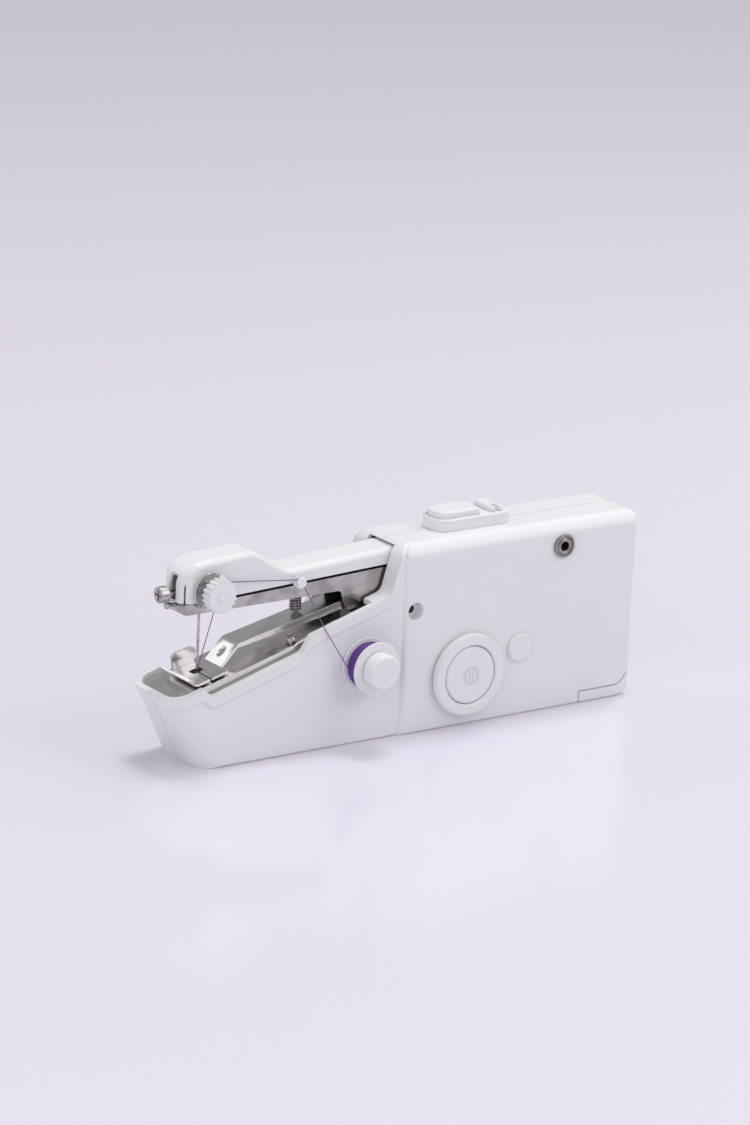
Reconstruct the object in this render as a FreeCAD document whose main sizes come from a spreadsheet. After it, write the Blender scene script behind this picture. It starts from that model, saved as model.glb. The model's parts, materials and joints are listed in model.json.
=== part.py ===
import FreeCAD, Part
import math
import os
import Sketcher
from types import SimpleNamespace

from FreeCAD import Placement, Rotation, Vector

# Handheld sewing machine, in millimetres. X runs from the nose (negative) to the rear, Y from the front face with
# the hand wheel (negative) to the back, Z up from the base. The origin is on the base, on the parting plane,
# below the shoulder where the handle block meets the bed housing.
sizes = {
    # handle block
    "block_length": 110.5,
    "block_depth": 33.2,
    "block_height": 74.4,
    "wall": 2.0,
    "top_round": 5.5,
    "end_round": 3.5,
    "shoulder_round": 2.5,
    "base_round": 1.0,
    "heel_round": 8.0,
    "crown_round": 4.0,
    "parting_gap": 0.24,
    "parting_shift": 0.22,
    # bed housing
    "housing_depth": 31.2,
    "nose_foot": 88.5,
    "nose_reach": 101.5,
    "nose_round": 8.0,
    "nose_wall": 2.2,
    "rim_height": 28.2,
    "rim_rise": 0.2924,
    "rim_band": 4.5,
    "rim_proud": 0.5,
    "notch_start": 88.5,
    "notch_end": 41.5,
    "rear_notch_end": 20.0,
    "notch_depth": 5.0,
    "notch_slant": 4.0,
    "cheek_foot": 5.5,
    "cheek_reach": 0.5,
    "cheek_foot_round": 4.0,
    "cheek_top_round": 6.0,
    "throat_half": 8.1,
    "throat_floor": 44.0,
    "throat_roof": 73.0,
    # fits
    "run_gap": 0.05,
    "seat_gap": 0.02,
    "face_gap": 0.3,
    # steel bed
    "bed_half": 12.2,
    "bed_sheet": 1.0,
    "bed_height": 32.0,
    "bed_rise": 0.2735,
    "bed_flange": 9.0,
    "bed_flange_rake": 7.65,
    "bed_front": 98.2,
    "bed_corner": 4.8,
    "bed_rear": 13.2,
    "bed_window": 25.5,
    "bed_window_half": 8.7,
    "bed_screw_x": 45.5,
    "bed_screw_y": 8.2,
    "bed_screw_head": 2.1,
    "bed_screw_crown": 1.47,
    "bed_screw_cap": 1.5,
    "bed_screw_shank": 1.2,
    "bed_screw_length": 7.0,
    # needle and its clamp
    "needle_x": 81.5,
    "needle_blade": 0.5,
    "needle_shank": 0.9,
    "needle_way": 1.44,
    "needle_tip": 30.5,
    "needle_taper": 4.0,
    "needle_eye": 1.6,
    "needle_step": 57.0,
    "needle_top": 68.0,
    "needle_hole_length": 8.0,
    "needle_hole_half": 1.6,
    "clamp_front": 88.0,
    "clamp_back": 77.0,
    "clamp_half": 5.0,
    "clamp_height": 6.6,
    "needle_screw_height": 65.2,
    "needle_screw_shank": 1.2,
    "needle_screw_head": 3.15,
    "needle_screw_cross": 2.205,
    "needle_screw_start": 96.4,
    "needle_screw_end": 99.7,
    "needle_screw_slot": 0.8,
    "clamp_screw_head": 1.2,
    "clamp_screw_bore": 0.72,
    "clamp_screw_reach": 4.6,
    "clamp_screw_height": 60.6,
    # needle arm
    "pivot_x": 5.4,
    "pivot_z": 48.6,
    "pivot_pin": 1.6,
    "pivot_wall": 1.6,
    "pivot_window": 3.39,
    "pivot_boss": 5.4,
    "arm_half": 7.0,
    "arm_sheet": 0.8,
    "arm_nose": 92.0,
    "arm_lower": 58.0,
    "arm_bend": 33.0,
    "arm_step_front": 22.8,
    "arm_step_back": 19.8,
    "arm_step_low": 49.6,
    "arm_tail": 12.0,
    "arm_tail_low": 44.0,
    "arm_line_height": 65.88,
    "arm_line_rise": 0.0393,
    "cover_half": 7.6,
    "cover_wall": 1.4,
    "cover_nose": 93.6,
    "cover_nose_plan": 5.0,
    "cover_slot_half": 2.0,
    "cover_slot_top": 72.6,
    "cover_nose_top": 76.2,
    "cover_head_front": 84.0,
    "cover_head_front_top": 77.7,
    "cover_head_back": 63.0,
    "cover_head_back_top": 79.0,
    "cover_neck": 47.0,
    "cover_neck_top": 69.4,
    "cover_rear": 2.0,
    "cover_rear_top": 72.2,
    "cover_nose_round": 9.0,
    "cover_head_round": 9.0,
    "cover_neck_round": 12.0,
    "cover_edge_round": 2.4,
    # drive lever and crank
    "lever_sheet": 2.5,
    "lever_front": -3.5,
    "hub_radius": 3.6,
    "crank_x": 30.5,
    "crank_z": 20.5,
    "crank_throw": 2.63,
    "crank_pin": 1.25,
    "crank_play": 0.65,
    "lever_eye": 7.0,
    "lever_depth": 9.8,
    "shaft_radius": 2.0,
    "bush_wall": 1.6,
    "boss_wall": 2.0,
    "bush_length": 5.1,
    # gear train
    "gear_module": 0.8,
    "gear_pressure": 20.0,
    "gear_tip": 0.85,
    "gear_root": 1.15,
    "gear_lap": 0.1,
    "crank_teeth": 40,
    "idler_small_teeth": 24,
    "idler_large_teeth": 48,
    "pinion_teeth": 12,
    "pinion_spare": 0.4,
    "gear_backlash": 0.16,
    "gear_front": -11.0,
    "gear_width": 4.0,
    "idler_gap": 0.5,
    "idler_width": 2.0,
    "idler_angle": 15.4,
    "motor_angle": 100.0,
    "idler_pin": 1.5,
    "motor_radius": 10.0,
    "motor_nose": 3.0,
    "motor_length": 17.0,
    "motor_front": -3.5,
    "motor_shaft": 1.0,
    # hand wheel
    "wheel_radius": 16.3,
    "wheel_ring": 4.7,
    "wheel_proud": 3.4,
    "wheel_web": 1.0,
    "wheel_round": 1.3,
    "wheel_cap_gap": 0.3,
    "wheel_cap_height": 1.9,
    "wheel_mark": 3.5,
    "wheel_mark_line": 0.6,
    "wheel_mark_height": 0.3,
    "plug_radius": 5.76,
    "plug_proud": 1.5,
    "plug_round": 0.9,
    "plug_round_mid": 0.375,
    "plug_stub": 2.6,
    # presser
    "presser_half": 5.4,
    "presser_sheet": 1.0,
    "presser_front": 67.0,
    "presser_front_top": 43.4,
    "presser_rise": 0.22,
    "presser_rear": 11.2,
    "presser_flange_front": 1.8,
    "presser_flange_rear": 4.6,
    "presser_pin_x": 13.0,
    "presser_pin_drop": 2.8,
    "presser_pin": 0.9,
    "presser_lug": 1.0,
    "bracket_rise": 0.3,
    "presser_lug_half": 3.9,
    "foot_heel": 74.6,
    "foot_toe": 88.4,
    "foot_front": 10.3,
    "foot_back": 8.4,
    "foot_lift": 0.6,
    "toe_length": 2.8,
    "toe_rise": 2.6,
    "slot_length": 4.8,
    "slot_half": 1.9,
    "slit_width": 0.7,
    "tab_front": 86.6,
    "tab_back": 78.0,
    "tab_height": 6.2,
    "tab_flare": 2.0,
    "ramp_hole": 1.7,
    "spring_x": 38.5,
    "spring_radius": 2.0,
    "spring_wire": 0.7,
    "spring_turns": 7,
    # tension
    "tension_x": 82.3,
    "tension_z": 66.7,
    "tension_stud": 1.3,
    "tension_disc": 7.5,
    "tension_disc_small": 6.0,
    "tension_flat": 5.625,
    "tension_flat_back": 5.25,
    "tension_sheet": 0.5,
    "tension_flare": 0.5,
    "tension_pinch": 0.5,
    "tension_spring_length": 3.2,
    "tension_spring_radius": 3.4,
    "tension_wire": 0.4,
    "tension_lead": 0.72,
    "tension_turns": 2,
    "tension_knob": 6.4,
    "tension_knob_root": 5.85,
    "tension_rib": 0.66,
    "tension_rib_inset": 0.8,
    "tension_knob_length": 4.2,
    "tension_teeth": 19,
    "tension_boss": 2.1,
    "tension_boss_height": 0.5,
    # thread, guide and spool
    "thread": 0.45,
    "thread_play": 0.06,
    "winding_play": 0.72,
    "leave_shift": 0.4,
    "leave_drop": 0.5,
    "rim_cross": 36.0,
    "rim_bend": 5.0,
    "guide_x": 43.3,
    "guide_z": 64.9,
    "guide_stem": 1.5,
    "guide_neck": 0.7,
    "guide_meet_x": 1.5,
    "guide_meet_z": 1.2,
    "guide_over": 0.9,
    "guide_bend": 0.84,
    "enter_x": 3.3,
    "enter_z": 2.9,
    "enter_bend": 2.4,
    "exit_x": 1.9,
    "exit_z": 6.0,
    "exit_bend": 4.0,
    "edge_x": 2.4,
    "edge_bend": 4.0,
    "eye_play": 0.27,
    "guide_rim": 2.4,
    "guide_rim_end": 2.0,
    "guide_stand": 0.6,
    "guide_flange": 0.7,
    "guide_groove": 1.4,
    "spool_x": 16.6,
    "spool_z": 31.3,
    "spool_flange": 10.4,
    "spool_sheet": 1.0,
    "spool_front": 24.3,
    "spool_core": 4.0,
    "spool_pin": 2.2,
    "winding_radius": 8.8,
    "winding_turns": 5,
    "winding_pitch": 0.9,
    "cap_radius": 6.9,
    "cap_length": 5.5,
    "cap_round": 1.6,
    "cap_grip": 4.0,
    # looper
    "looper_y": 2.0,
    "looper_z": 14.0,
    "looper_radius": 1.5,
    "looper_guide_inset": 20.0,
    "looper_guide_rise": 3.75,
    "yoke_lap": 1.05,
    "looper_reach": 80.0,
    "looper_play": 2.2,
    "looper_sheet": 2.0,
    "hook_width": 3.0,
    "hook_collar": 2.7,
    "hook_reach": 7.2,
    "hook_tip": 1.2,
    "hook_sheet": 1.0,
    "hook_top": 26.0,
    # top switch
    "switch_start": 21.3,
    "switch_end": 57.0,
    "switch_half": 7.2,
    "switch_corner": 5.5,
    "switch_height": 4.8,
    "switch_floor": 1.0,
    "switch_edge": 0.9,
    "button_start": 22.6,
    "button_end": 41.6,
    "button_half": 5.9,
    "button_nose": 4.0,
    "button_heel": 2.0,
    "button_proud": 2.55,
    "button_travel": 2.0,
    "button_roof": 1.5,
    "button_stem": 1.4,
    "button_round": 0.8,
    "button_spring_radius": 2.6,
    "button_wire": 0.45,
    "button_turns": 3,
    "lock_start": 46.5,
    "lock_end": 52.3,
    "lock_half": 6.0,
    "lock_proud": 1.95,
    "lock_corner": 1.2,
    "lock_edge": 0.5,
    "lock_travel": 2.8,
    "lock_notch_inset": 1.8,
    "lock_notch_width": 1.7,
    "lock_notch_length": 4.0,
    "tongue_inset": 0.5,
    "tongue_length": 2.0,
    "tongue_half": 1.5,
    "module_length": 14.5,
    "module_half": 5.0,
    "module_drop": 2.4,
    "module_height": 9.0,
    "plunger_proud": 1.0,
    "shelf": 2.0,
    # power socket
    "jack_inset": 36.7,
    "jack_drop": 9.2,
    "jack_neck": 3.6,
    "jack_nut": 4.6,
    "jack_proud": 1.2,
    "jack_sunk": 0.24,
    "jack_bore": 1.8,
    "jack_bore_length": 14.0,
    "jack_body": 7.2,
    # batteries
    "cell_radius": 7.2,
    "cell_length": 49.0,
    "cell_nub": 2.75,
    "cell_nub_height": 1.5,
    "cell_floor": 6.5,
    "cell_play": 0.1,
    "contact_sheet": 0.4,
    "contact_half": 5.0,
    "cover_length": 25.2,
    "cover_floor_length": 31.6,
    "cover_lip": 4.9,
    "cover_end_height": 11.6,
    "cover_curve": 6.0,
    "cover_groove": 0.4,
    "divider": 1.2,
    # case screws
    "screw_foot_x": 8.0,
    "screw_foot_z": 7.0,
    "screw_inset": 35.0,
    "screw_low_z": 4.6,
    "screw_mid_drop": 20.4,
    "screw_top_x": 17.0,
    "screw_top_drop": 8.4,
    "screw_nose_inset": 18.5,
    "screw_nose_z": 8.0,
    "screw_shank": 1.25,
    "screw_head": 2.6,
    "screw_cap": 1.8,
    "screw_sink": 2.4,
    "screw_grip": 8.0,
    "screw_boss": 3.2,
}


class Dim:
    # A number from the sheet, or a sum of such numbers, that keeps its expression beside its value.
    def __init__(self, text, value):
        self.text = text
        self.value = value

    def __add__(self, other):
        other = as_dim(other)
        return Dim(f"({self.text} + {other.text})", self.value + other.value)

    def __sub__(self, other):
        other = as_dim(other)
        return Dim(f"({self.text} - {other.text})", self.value - other.value)

    def __mul__(self, other):
        other = as_dim(other)
        return Dim(f"({self.text} * {other.text})", self.value * other.value)

    def __truediv__(self, other):
        other = as_dim(other)
        return Dim(f"({self.text} / {other.text})", self.value / other.value)

    def __radd__(self, other):
        return as_dim(other) + self

    def __rsub__(self, other):
        return as_dim(other) - self

    def __rmul__(self, other):
        return as_dim(other) * self

    def __neg__(self):
        return Dim(f"(0 - {self.text})", -self.value)


def as_dim(number):
    return number if isinstance(number, Dim) else Dim(f"({number})", float(number))


doc = FreeCAD.newDocument("HandheldSewingMachine")
sheet = doc.addObject("Spreadsheet::Sheet", "Sizes")
for row, (alias, number) in enumerate(sizes.items(), start=1):
    sheet.set(f"A{row}", alias)
    sheet.set(f"B{row}", str(number))
    sheet.setAlias(f"B{row}", alias)
doc.recompute()
s = SimpleNamespace(**{alias: Dim(f"Sizes.{alias}", float(sheet.get(alias))) for alias in sizes})
zero = as_dim(0)
nodes = []


def bind(item, prop, dim):
    item.setExpression(prop, as_dim(dim).text)


def place(item, at, rotation=None):
    numbers = [as_dim(value) for value in at]
    item.Placement = Placement(Vector(*[dim.value for dim in numbers]), rotation or Rotation())
    for letter, dim in zip("xyz", numbers):
        bind(item, f"Placement.Base.{letter}", dim)


def node(item, label):
    item.Label = label
    nodes.append(item)
    return item


# Rotations that carry a drawing's own x and y, or a cylinder's own axis, to the directions of the machine.
drawn_in = {"XY": Rotation(), "XZ": Rotation(Vector(1, 0, 0), 90), "YZ": Rotation(Vector(1, 1, 1), 120)}
turned_about = {"X": Rotation(Vector(0, 0, 1), -90), "Y": Rotation(), "Z": Rotation(Vector(1, 0, 0), 90)}
along = {"X": Rotation(Vector(0, 1, 0), 90), "Y": Rotation(Vector(1, 0, 0), -90), "Z": Rotation()}


def box(name, x, y, z):
    item = doc.addObject("Part::Box", name)
    for prop, (low, high) in zip(("Length", "Width", "Height"), (x, y, z)):
        bind(item, prop, as_dim(high) - low)
    place(item, (x[0], y[0], z[0]))
    return item


def rod(name, radius, axis, at, length):
    item = doc.addObject("Part::Cylinder", name)
    bind(item, "Radius", radius)
    bind(item, "Height", length)
    place(item, at, along[axis])
    return item


def drawing(body, outline):
    # A closed outline in the body's own XY plane, each corner held by its two distances from the origin.
    sketch = body.newObject("Sketcher::SketchObject", body.Name + "_outline")
    planes = [item for item in body.Origin.OriginFeatures if item.Role == "XY_Plane"]
    sketch.AttachmentSupport = [(planes[0], "")]
    sketch.MapMode = "FlatFace"
    corners = [Vector(as_dim(a).value, as_dim(b).value, 0) for a, b in outline]
    count = len(corners)
    for index in range(count):
        sketch.addGeometry(Part.LineSegment(corners[index], corners[(index + 1) % count]), False)
    for index in range(count):
        sketch.addConstraint(Sketcher.Constraint("Coincident", index, 2, (index + 1) % count, 1))
    for index, corner in enumerate(outline):
        for kind, dim, number in zip(("DistanceX", "DistanceY"), corner, corners[index]):
            held = sketch.addConstraint(Sketcher.Constraint(kind, -1, 1, index, 1, number))
            bind(sketch, f"Constraints[{held}]", dim)
    return sketch


def prism(name, plane, outline, low, high, rounds=None):
    # An outline padded square to its plane from low to high, with some of its corners rounded.
    body = doc.addObject("PartDesign::Body", name)
    sketch = drawing(body, outline)
    pad = body.newObject("PartDesign::Pad", name + "_pad")
    pad.Profile = sketch
    bind(pad, "Length", as_dim(high) - low)
    start = {"XY": (zero, zero, low), "XZ": (zero, high, zero), "YZ": (low, zero, zero)}[plane]
    place(body, start, drawn_in[plane])
    doc.recompute()
    middle = (as_dim(high) - low).value / 2
    for index, radius in (rounds or {}).items():
        corner = Vector(as_dim(outline[index][0]).value, as_dim(outline[index][1]).value, middle)
        base = body.Tip
        found = [f"Edge{number}" for number, edge in enumerate(base.Shape.Edges, start=1)
                 if edge.CenterOfMass.distanceToPoint(corner) < 0.001]
        fillet = body.newObject("PartDesign::Fillet", f"{name}_round{index}")
        fillet.Base = (base, found)
        bind(fillet, "Radius", radius)
        doc.recompute()
    return body


def turned(name, axis, at, outline):
    # A profile of (radius, distance along the axis) turned right round.
    body = doc.addObject("PartDesign::Body", name)
    sketch = drawing(body, outline)
    turn = body.newObject("PartDesign::Revolution", name + "_turn")
    turn.Profile = sketch
    turn.ReferenceAxis = (sketch, ["V_Axis"])
    turn.Angle = 360
    place(body, at, turned_about[axis])
    return body


def fuse(name, *items):
    item = doc.addObject("Part::MultiFuse", name)
    item.Shapes = list(items)
    return item


def group(name, *items):
    item = doc.addObject("Part::Compound", name)
    item.Links = list(items)
    return item


def common(name, *items):
    item = doc.addObject("Part::MultiCommon", name)
    item.Shapes = list(items)
    return item


def cut(name, base, *tools):
    tool = tools[0] if len(tools) == 1 else fuse(name + "_tools", *tools)
    item = doc.addObject("Part::Cut", name)
    item.Base = base
    item.Tool = tool
    return item


def rounded(name, base, radius, wanted):
    # Fillet of the edges whose middles the test picks.
    doc.recompute()
    item = doc.addObject("Part::Fillet", name)
    item.Base = base
    picked = [number for number, edge in enumerate(base.Shape.Edges, start=1) if wanted(edge)]
    item.Edges = [(number, radius.value, radius.value) for number in picked]
    return item


def plan_block(name, x, half, nose, heel, low, high):
    # An upright block whose front and rear corners are rounded in plan.
    return prism(name, "XY", [(x[0], -half), (x[1], -half), (x[1], half), (x[0], half)], low, high,
                 {index: radius for index, radius in enumerate((nose, heel, heel, nose)) if radius.value > 0})


def top_edged(name, block, radius, top):
    return rounded(name, block, radius, lambda edge: abs(edge.CenterOfMass.z - top.value) < 0.001)


def solid_feature(name, shape):
    item = doc.addObject("Part::Feature", name)
    item.Shape = shape
    item.Placement = Placement()
    return item


# Lines that several pieces share.
def rim_z(x):
    return s.rim_height + (as_dim(x) + s.nose_reach) * s.rim_rise


def bed_z(x):
    return s.bed_height + (as_dim(x) + s.needle_x) * s.bed_rise


def arm_z(x):
    return s.arm_line_height + as_dim(x) * s.arm_line_rise


def presser_z(x):
    return s.presser_front_top + (as_dim(x) + s.presser_front) * s.presser_rise


half_block = s.block_depth / 2
half_housing = s.housing_depth / 2
inner_block = half_block - s.wall
inner_housing = half_housing - s.wall
roof = s.block_height - s.wall
rear_inside = s.block_length - s.wall
front_face = -half_block
front_inside = -inner_block
jack_x = s.block_length - s.jack_inset
jack_z = s.block_height - s.jack_drop
cover_start = s.block_length - s.cover_length
cover_floor_start = s.block_length - s.cover_floor_length
idler_run = s.gear_module * (s.crank_teeth + s.idler_small_teeth) / 2
motor_run = s.gear_module * (s.idler_large_teeth + s.pinion_teeth) / 2


def turn_from(x, z, run, angle):
    ray = [Dim(f"({name}({angle.text} * 1deg))", getattr(math, name)(math.radians(angle.value)))
           for name in ("cos", "sin")]
    return x + run * ray[0], z + run * ray[1]


idler_x, idler_z = turn_from(s.crank_x, s.crank_z, idler_run, s.idler_angle)
motor_x, motor_z = turn_from(idler_x, idler_z, motor_run, s.motor_angle)
idler_large_front = s.gear_front + s.gear_width + s.idler_gap


# Turns of wire
def biarc(p0, t0, p1, t1):
    # Two arcs that leave p0 along t0 and reach p1 along t1, as Part edges.
    chord = p1 - p0
    both = t0 + t1
    facing = 2 * (1 - t0.dot(t1))
    if facing < 1e-9:
        return [Part.LineSegment(p0, p1).toShape()]
    reach = (-chord.dot(both) + math.sqrt(chord.dot(both) ** 2 + facing * chord.dot(chord))) / facing
    corner0 = p0 + t0 * reach
    corner1 = p1 - t1 * reach
    join = (corner0 + corner1) * 0.5
    edges = []
    for start, corner, end in ((p0, corner0, join), (join, corner1, p1)):
        across = (end - start).normalize()
        weight = across.dot((corner - start).normalize())
        middle = (start + corner * (2 * weight) + end) * (1 / (2 * (1 + weight)))
        edges.append(Part.Arc(start, middle, end).toShape())
    return edges


def tube(edges, wire_radius):
    path = Part.Wire(edges)
    first = edges[0]
    start = first.valueAt(first.FirstParameter)
    heading = first.tangentAt(first.FirstParameter)
    ring = Part.Wire(Part.Circle(start, heading, wire_radius).toShape())
    return path, path.makePipeShell([ring], True, False)


def least_gap(path, wire_radius, apart):
    # Least clear distance between stretches of the wire that are more than a set length apart along it.
    count = max(200, int(path.Length / (wire_radius * 1.5)))
    points = path.discretize(Number=count)
    step = path.Length / (count - 1)
    skip = int(apart / step) + 1
    gaps = [points[i].distanceToPoint(points[j]) for i in range(count) for j in range(i + skip, count)]
    return min(gaps) - 2 * wire_radius


def coil(name, base, axis, radius, wire, turns, length, lead_in):
    # An open coil round an axis whose ends run straight along the axis for one wire diameter.
    side = Vector(1, 0, 0) if abs(axis.x) < 0.5 else Vector(0, 0, 1)
    across = axis.cross(side)
    rise = (length - 2 * lead_in) / turns

    def on_turn(quarter):
        angle = math.pi / 2 * quarter
        outward = side * math.cos(angle) + across * math.sin(angle)
        forward = across * math.cos(angle) - side * math.sin(angle)
        point = base + outward * radius + axis * (lead_in + rise * quarter / 4)
        return point, (forward * (2 * math.pi * radius) + axis * rise).normalize(), forward

    turn_points = [on_turn(quarter) for quarter in range(int(turns) * 4 + 1)]
    first, first_way, first_flat = turn_points[0]
    last, last_way, last_flat = turn_points[-1]
    low = first - (axis + first_flat) * (lead_in - wire)
    high = last + (axis + last_flat) * (lead_in - wire)
    edges = [Part.LineSegment(low - axis * wire, low).toShape()]
    edges += biarc(low, axis, first, first_way)
    for (p0, t0, _), (p1, t1, _) in zip(turn_points, turn_points[1:]):
        edges += biarc(p0, t0, p1, t1)
    edges += biarc(last, last_way, high, axis)
    edges.append(Part.LineSegment(high, high + axis * wire).toShape())
    path, shape = tube(edges, wire / 2)
    gap = least_gap(path, wire / 2, math.pi * radius)
    print(f"{name}: {int(turns)} turns, least gap to itself {gap:.2f} mm")
    return solid_feature(name, shape)


def thread_run(name, route, bends):
    # A taut thread: straight runs joined by tangent arcs, one bend radius for each inner point.
    radius = s.thread.value / 2
    points = [Vector(*[as_dim(dim).value for dim in point]) for point in route]
    start = points[0]
    edges = []
    for before, corner, after, bend in zip(points, points[1:], points[2:], [dim.value for dim in bends]):
        back = (before - corner).normalize()
        ahead = (after - corner).normalize()
        half_turn = (math.pi - back.getAngle(ahead)) / 2
        run = bend * math.tan(half_turn)
        begin = corner + back * run
        end = corner + ahead * run
        inward = (back + ahead).normalize()
        middle = corner + inward * (bend / math.cos(half_turn) - bend)
        edges.append(Part.LineSegment(start, begin).toShape())
        edges.append(Part.Arc(begin, middle, end).toShape())
        start = end
        print(f"{name}: bend radius {bend:.2f} mm")
    edges.append(Part.LineSegment(start, points[-1]).toShape())
    path, shape = tube(edges, radius)
    plain = math.pi * radius ** 2 * path.Length
    print(f"{name}: length {path.Length:.1f} mm, volume {shape.Volume:.3f} for {plain:.3f}")
    return solid_feature(name, shape)


# Case halves
def rim_band(name, nose_rake, notch_end, low, high):
    # The raised lip along the rim, which dips with the notch.
    nose = -s.nose_reach - s.rim_proud
    notch_in = -s.notch_start + s.notch_slant
    notch_out = -notch_end - s.notch_slant
    band = prism(name, "XZ", [
        (-s.cheek_foot, rim_z(-s.cheek_foot)), (nose, rim_z(nose)),
        (nose + s.rim_band * nose_rake, rim_z(nose) - s.rim_band),
        (-s.notch_start, rim_z(-s.notch_start) - s.rim_band),
        (notch_in, rim_z(notch_in) - s.notch_depth - s.rim_band),
        (notch_out, rim_z(notch_out) - s.notch_depth - s.rim_band),
        (-notch_end, rim_z(-notch_end) - s.rim_band),
        (-s.cheek_foot, rim_z(-s.cheek_foot) - s.rim_band)], low, high,
        {3: s.notch_slant, 4: s.notch_slant, 5: s.notch_slant, 6: s.notch_slant})
    return rounded(name + "_rounded", band, s.nose_round + s.rim_proud,
                   lambda edge: edge.CenterOfMass.x < nose.value + s.rim_band.value
                   and abs(abs(edge.CenterOfMass.y) - high.value) < 0.001
                   and abs(edge.tangentAt(edge.FirstParameter).z) > 0.5)


def rim_notch(name, notch_end, low, high):
    notch_in = -s.notch_start + s.notch_slant
    notch_out = -notch_end - s.notch_slant
    return prism(name, "XZ", [
        (-s.notch_start, rim_z(-s.notch_start) + s.notch_depth), (-s.notch_start, rim_z(-s.notch_start)),
        (notch_in, rim_z(notch_in) - s.notch_depth), (notch_out, rim_z(notch_out) - s.notch_depth),
        (-notch_end, rim_z(-notch_end)), (-notch_end, rim_z(-notch_end) + s.notch_depth)],
        low, high, {2: s.notch_slant, 3: s.notch_slant})


def case_shell():
    top_outline = [(zero, -half_block), (s.block_length, -half_block), (s.block_length, half_block),
                   (zero, half_block)]
    plan = prism("block_plan", "XY", top_outline, zero, s.block_height,
                 {0: s.shoulder_round, 1: s.end_round, 2: s.end_round, 3: s.shoulder_round})
    side = prism("block_side", "XZ", [(zero, zero), (s.block_length, zero), (s.block_length, s.block_height),
                                      (zero, s.block_height)], -half_block, half_block,
                 {1: s.heel_round, 2: s.crown_round, 3: s.cheek_top_round})
    end = prism("block_end", "YZ", [(-half_block, zero), (half_block, zero), (half_block, s.block_height),
                                    (-half_block, s.block_height)], zero, s.block_length,
                {0: s.base_round, 1: s.base_round, 2: s.top_round, 3: s.top_round})
    block = common("block_outside", plan, side, end)
    housing_root = s.cheek_top_round * 2
    housing_outline = [(housing_root, zero), (housing_root, s.block_height),
                       (-s.cheek_reach, s.block_height), (-s.cheek_foot, rim_z(-s.cheek_foot)),
                       (-s.nose_reach, s.rim_height), (-s.nose_foot, zero)]
    housing_side = prism("housing_side", "XZ", housing_outline, -half_housing, half_housing,
                         {2: s.cheek_top_round, 3: s.cheek_foot_round})
    housing_side = rounded("housing_nosed", housing_side, s.nose_round,
                           lambda edge: edge.CenterOfMass.x < -s.nose_foot.value
                           and abs(edge.CenterOfMass.y) > half_housing.value - 0.001
                           and abs(edge.tangentAt(edge.FirstParameter).z) > 0.5)
    housing_end = prism("housing_end", "YZ", [(-half_housing, zero), (half_housing, zero),
                                              (half_housing, s.block_height),
                                              (-half_housing, s.block_height)],
                        -s.nose_reach, housing_root,
                        {0: s.base_round, 1: s.base_round, 2: s.top_round, 3: s.top_round})
    housing = common("housing_outside", housing_side, housing_end)
    band_half = half_housing + s.rim_proud
    nose_rake = (s.nose_reach - s.nose_foot) / s.rim_height
    bands = []
    notches = []
    for label, out, notch_end in (("front", -1, s.notch_end), ("rear", 1, s.rear_notch_end)):
        edge = as_dim(out) * (band_half + s.wall)
        low, high = (edge, zero) if out < 0 else (zero, edge)
        band = rim_band(label + "_rim_band", nose_rake, notch_end, -band_half, band_half)
        room = box(label + "_rim_room", (-s.block_length, s.block_length), (low, high),
                   (zero, s.block_height))
        bands.append(common(label + "_rim_half", band, room))
        notches.append(rim_notch(label + "_rim_notch", notch_end, low, high))
    over_rim = s.rim_height + s.notch_depth
    nose_low = -s.nose_foot + s.nose_wall - s.wall * nose_rake
    nose_high = -s.nose_foot + s.nose_wall - over_rim * nose_rake
    open_top = rim_z(-s.cheek_foot) + s.notch_depth
    lip = -s.bed_rear + s.face_gap
    housing_hollow = prism("housing_hollow", "XZ", [
        (s.wall * 2, s.wall), (s.wall * 2, roof), (-s.cheek_reach + s.wall, roof),
        (-s.cheek_foot + s.wall, rim_z(-s.cheek_foot) - s.wall), (lip, rim_z(lip) - s.wall),
        (lip, open_top), (nose_high, over_rim), (nose_low, s.wall)], -inner_housing, inner_housing)
    housing_hollow = rounded("housing_hollow_nosed", housing_hollow, s.nose_round - s.wall,
                             lambda edge: edge.CenterOfMass.x < -s.nose_foot.value + s.wall.value
                             and abs(edge.CenterOfMass.y) > inner_housing.value - 0.001
                             and abs(edge.tangentAt(edge.FirstParameter).z) > 0.5)
    block_hollow = box("block_hollow", (s.wall, rear_inside), (-inner_block, inner_block), (s.wall, roof))
    throat = box("throat", (-s.bed_rear - s.wall, s.wall * 2), (-s.throat_half, s.throat_half),
                 (s.throat_floor, s.throat_roof))
    outside = fuse("case_outside", block, housing, *bands)
    return block, cut("case_shell", outside, housing_hollow, block_hollow, throat, *notches)


def cover_zone(name, gap):
    # Room of the battery cover in the rear bottom corner, drawn in by a gap all round its edge.
    far = s.block_length + s.wall
    return prism(name, "XZ", [
        (cover_start + gap, -s.wall), (cover_start + gap, s.cover_lip - gap),
        (s.block_length - s.cover_curve + gap / 2, s.cover_lip - gap),
        (s.block_length + gap / 2, s.cover_end_height - gap),
        (far, s.cover_end_height - gap), (far, -s.wall)], -s.block_depth, s.block_depth, {2: s.cover_curve})


screw_x = s.block_length - s.screw_inset
screw_places = [(s.screw_foot_x, s.screw_foot_z), (screw_x, s.screw_low_z),
                (screw_x, s.block_height - s.screw_mid_drop),
                (s.screw_top_x, s.block_height - s.screw_top_drop),
                (-s.nose_foot + s.screw_nose_inset, s.screw_nose_z)]


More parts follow.
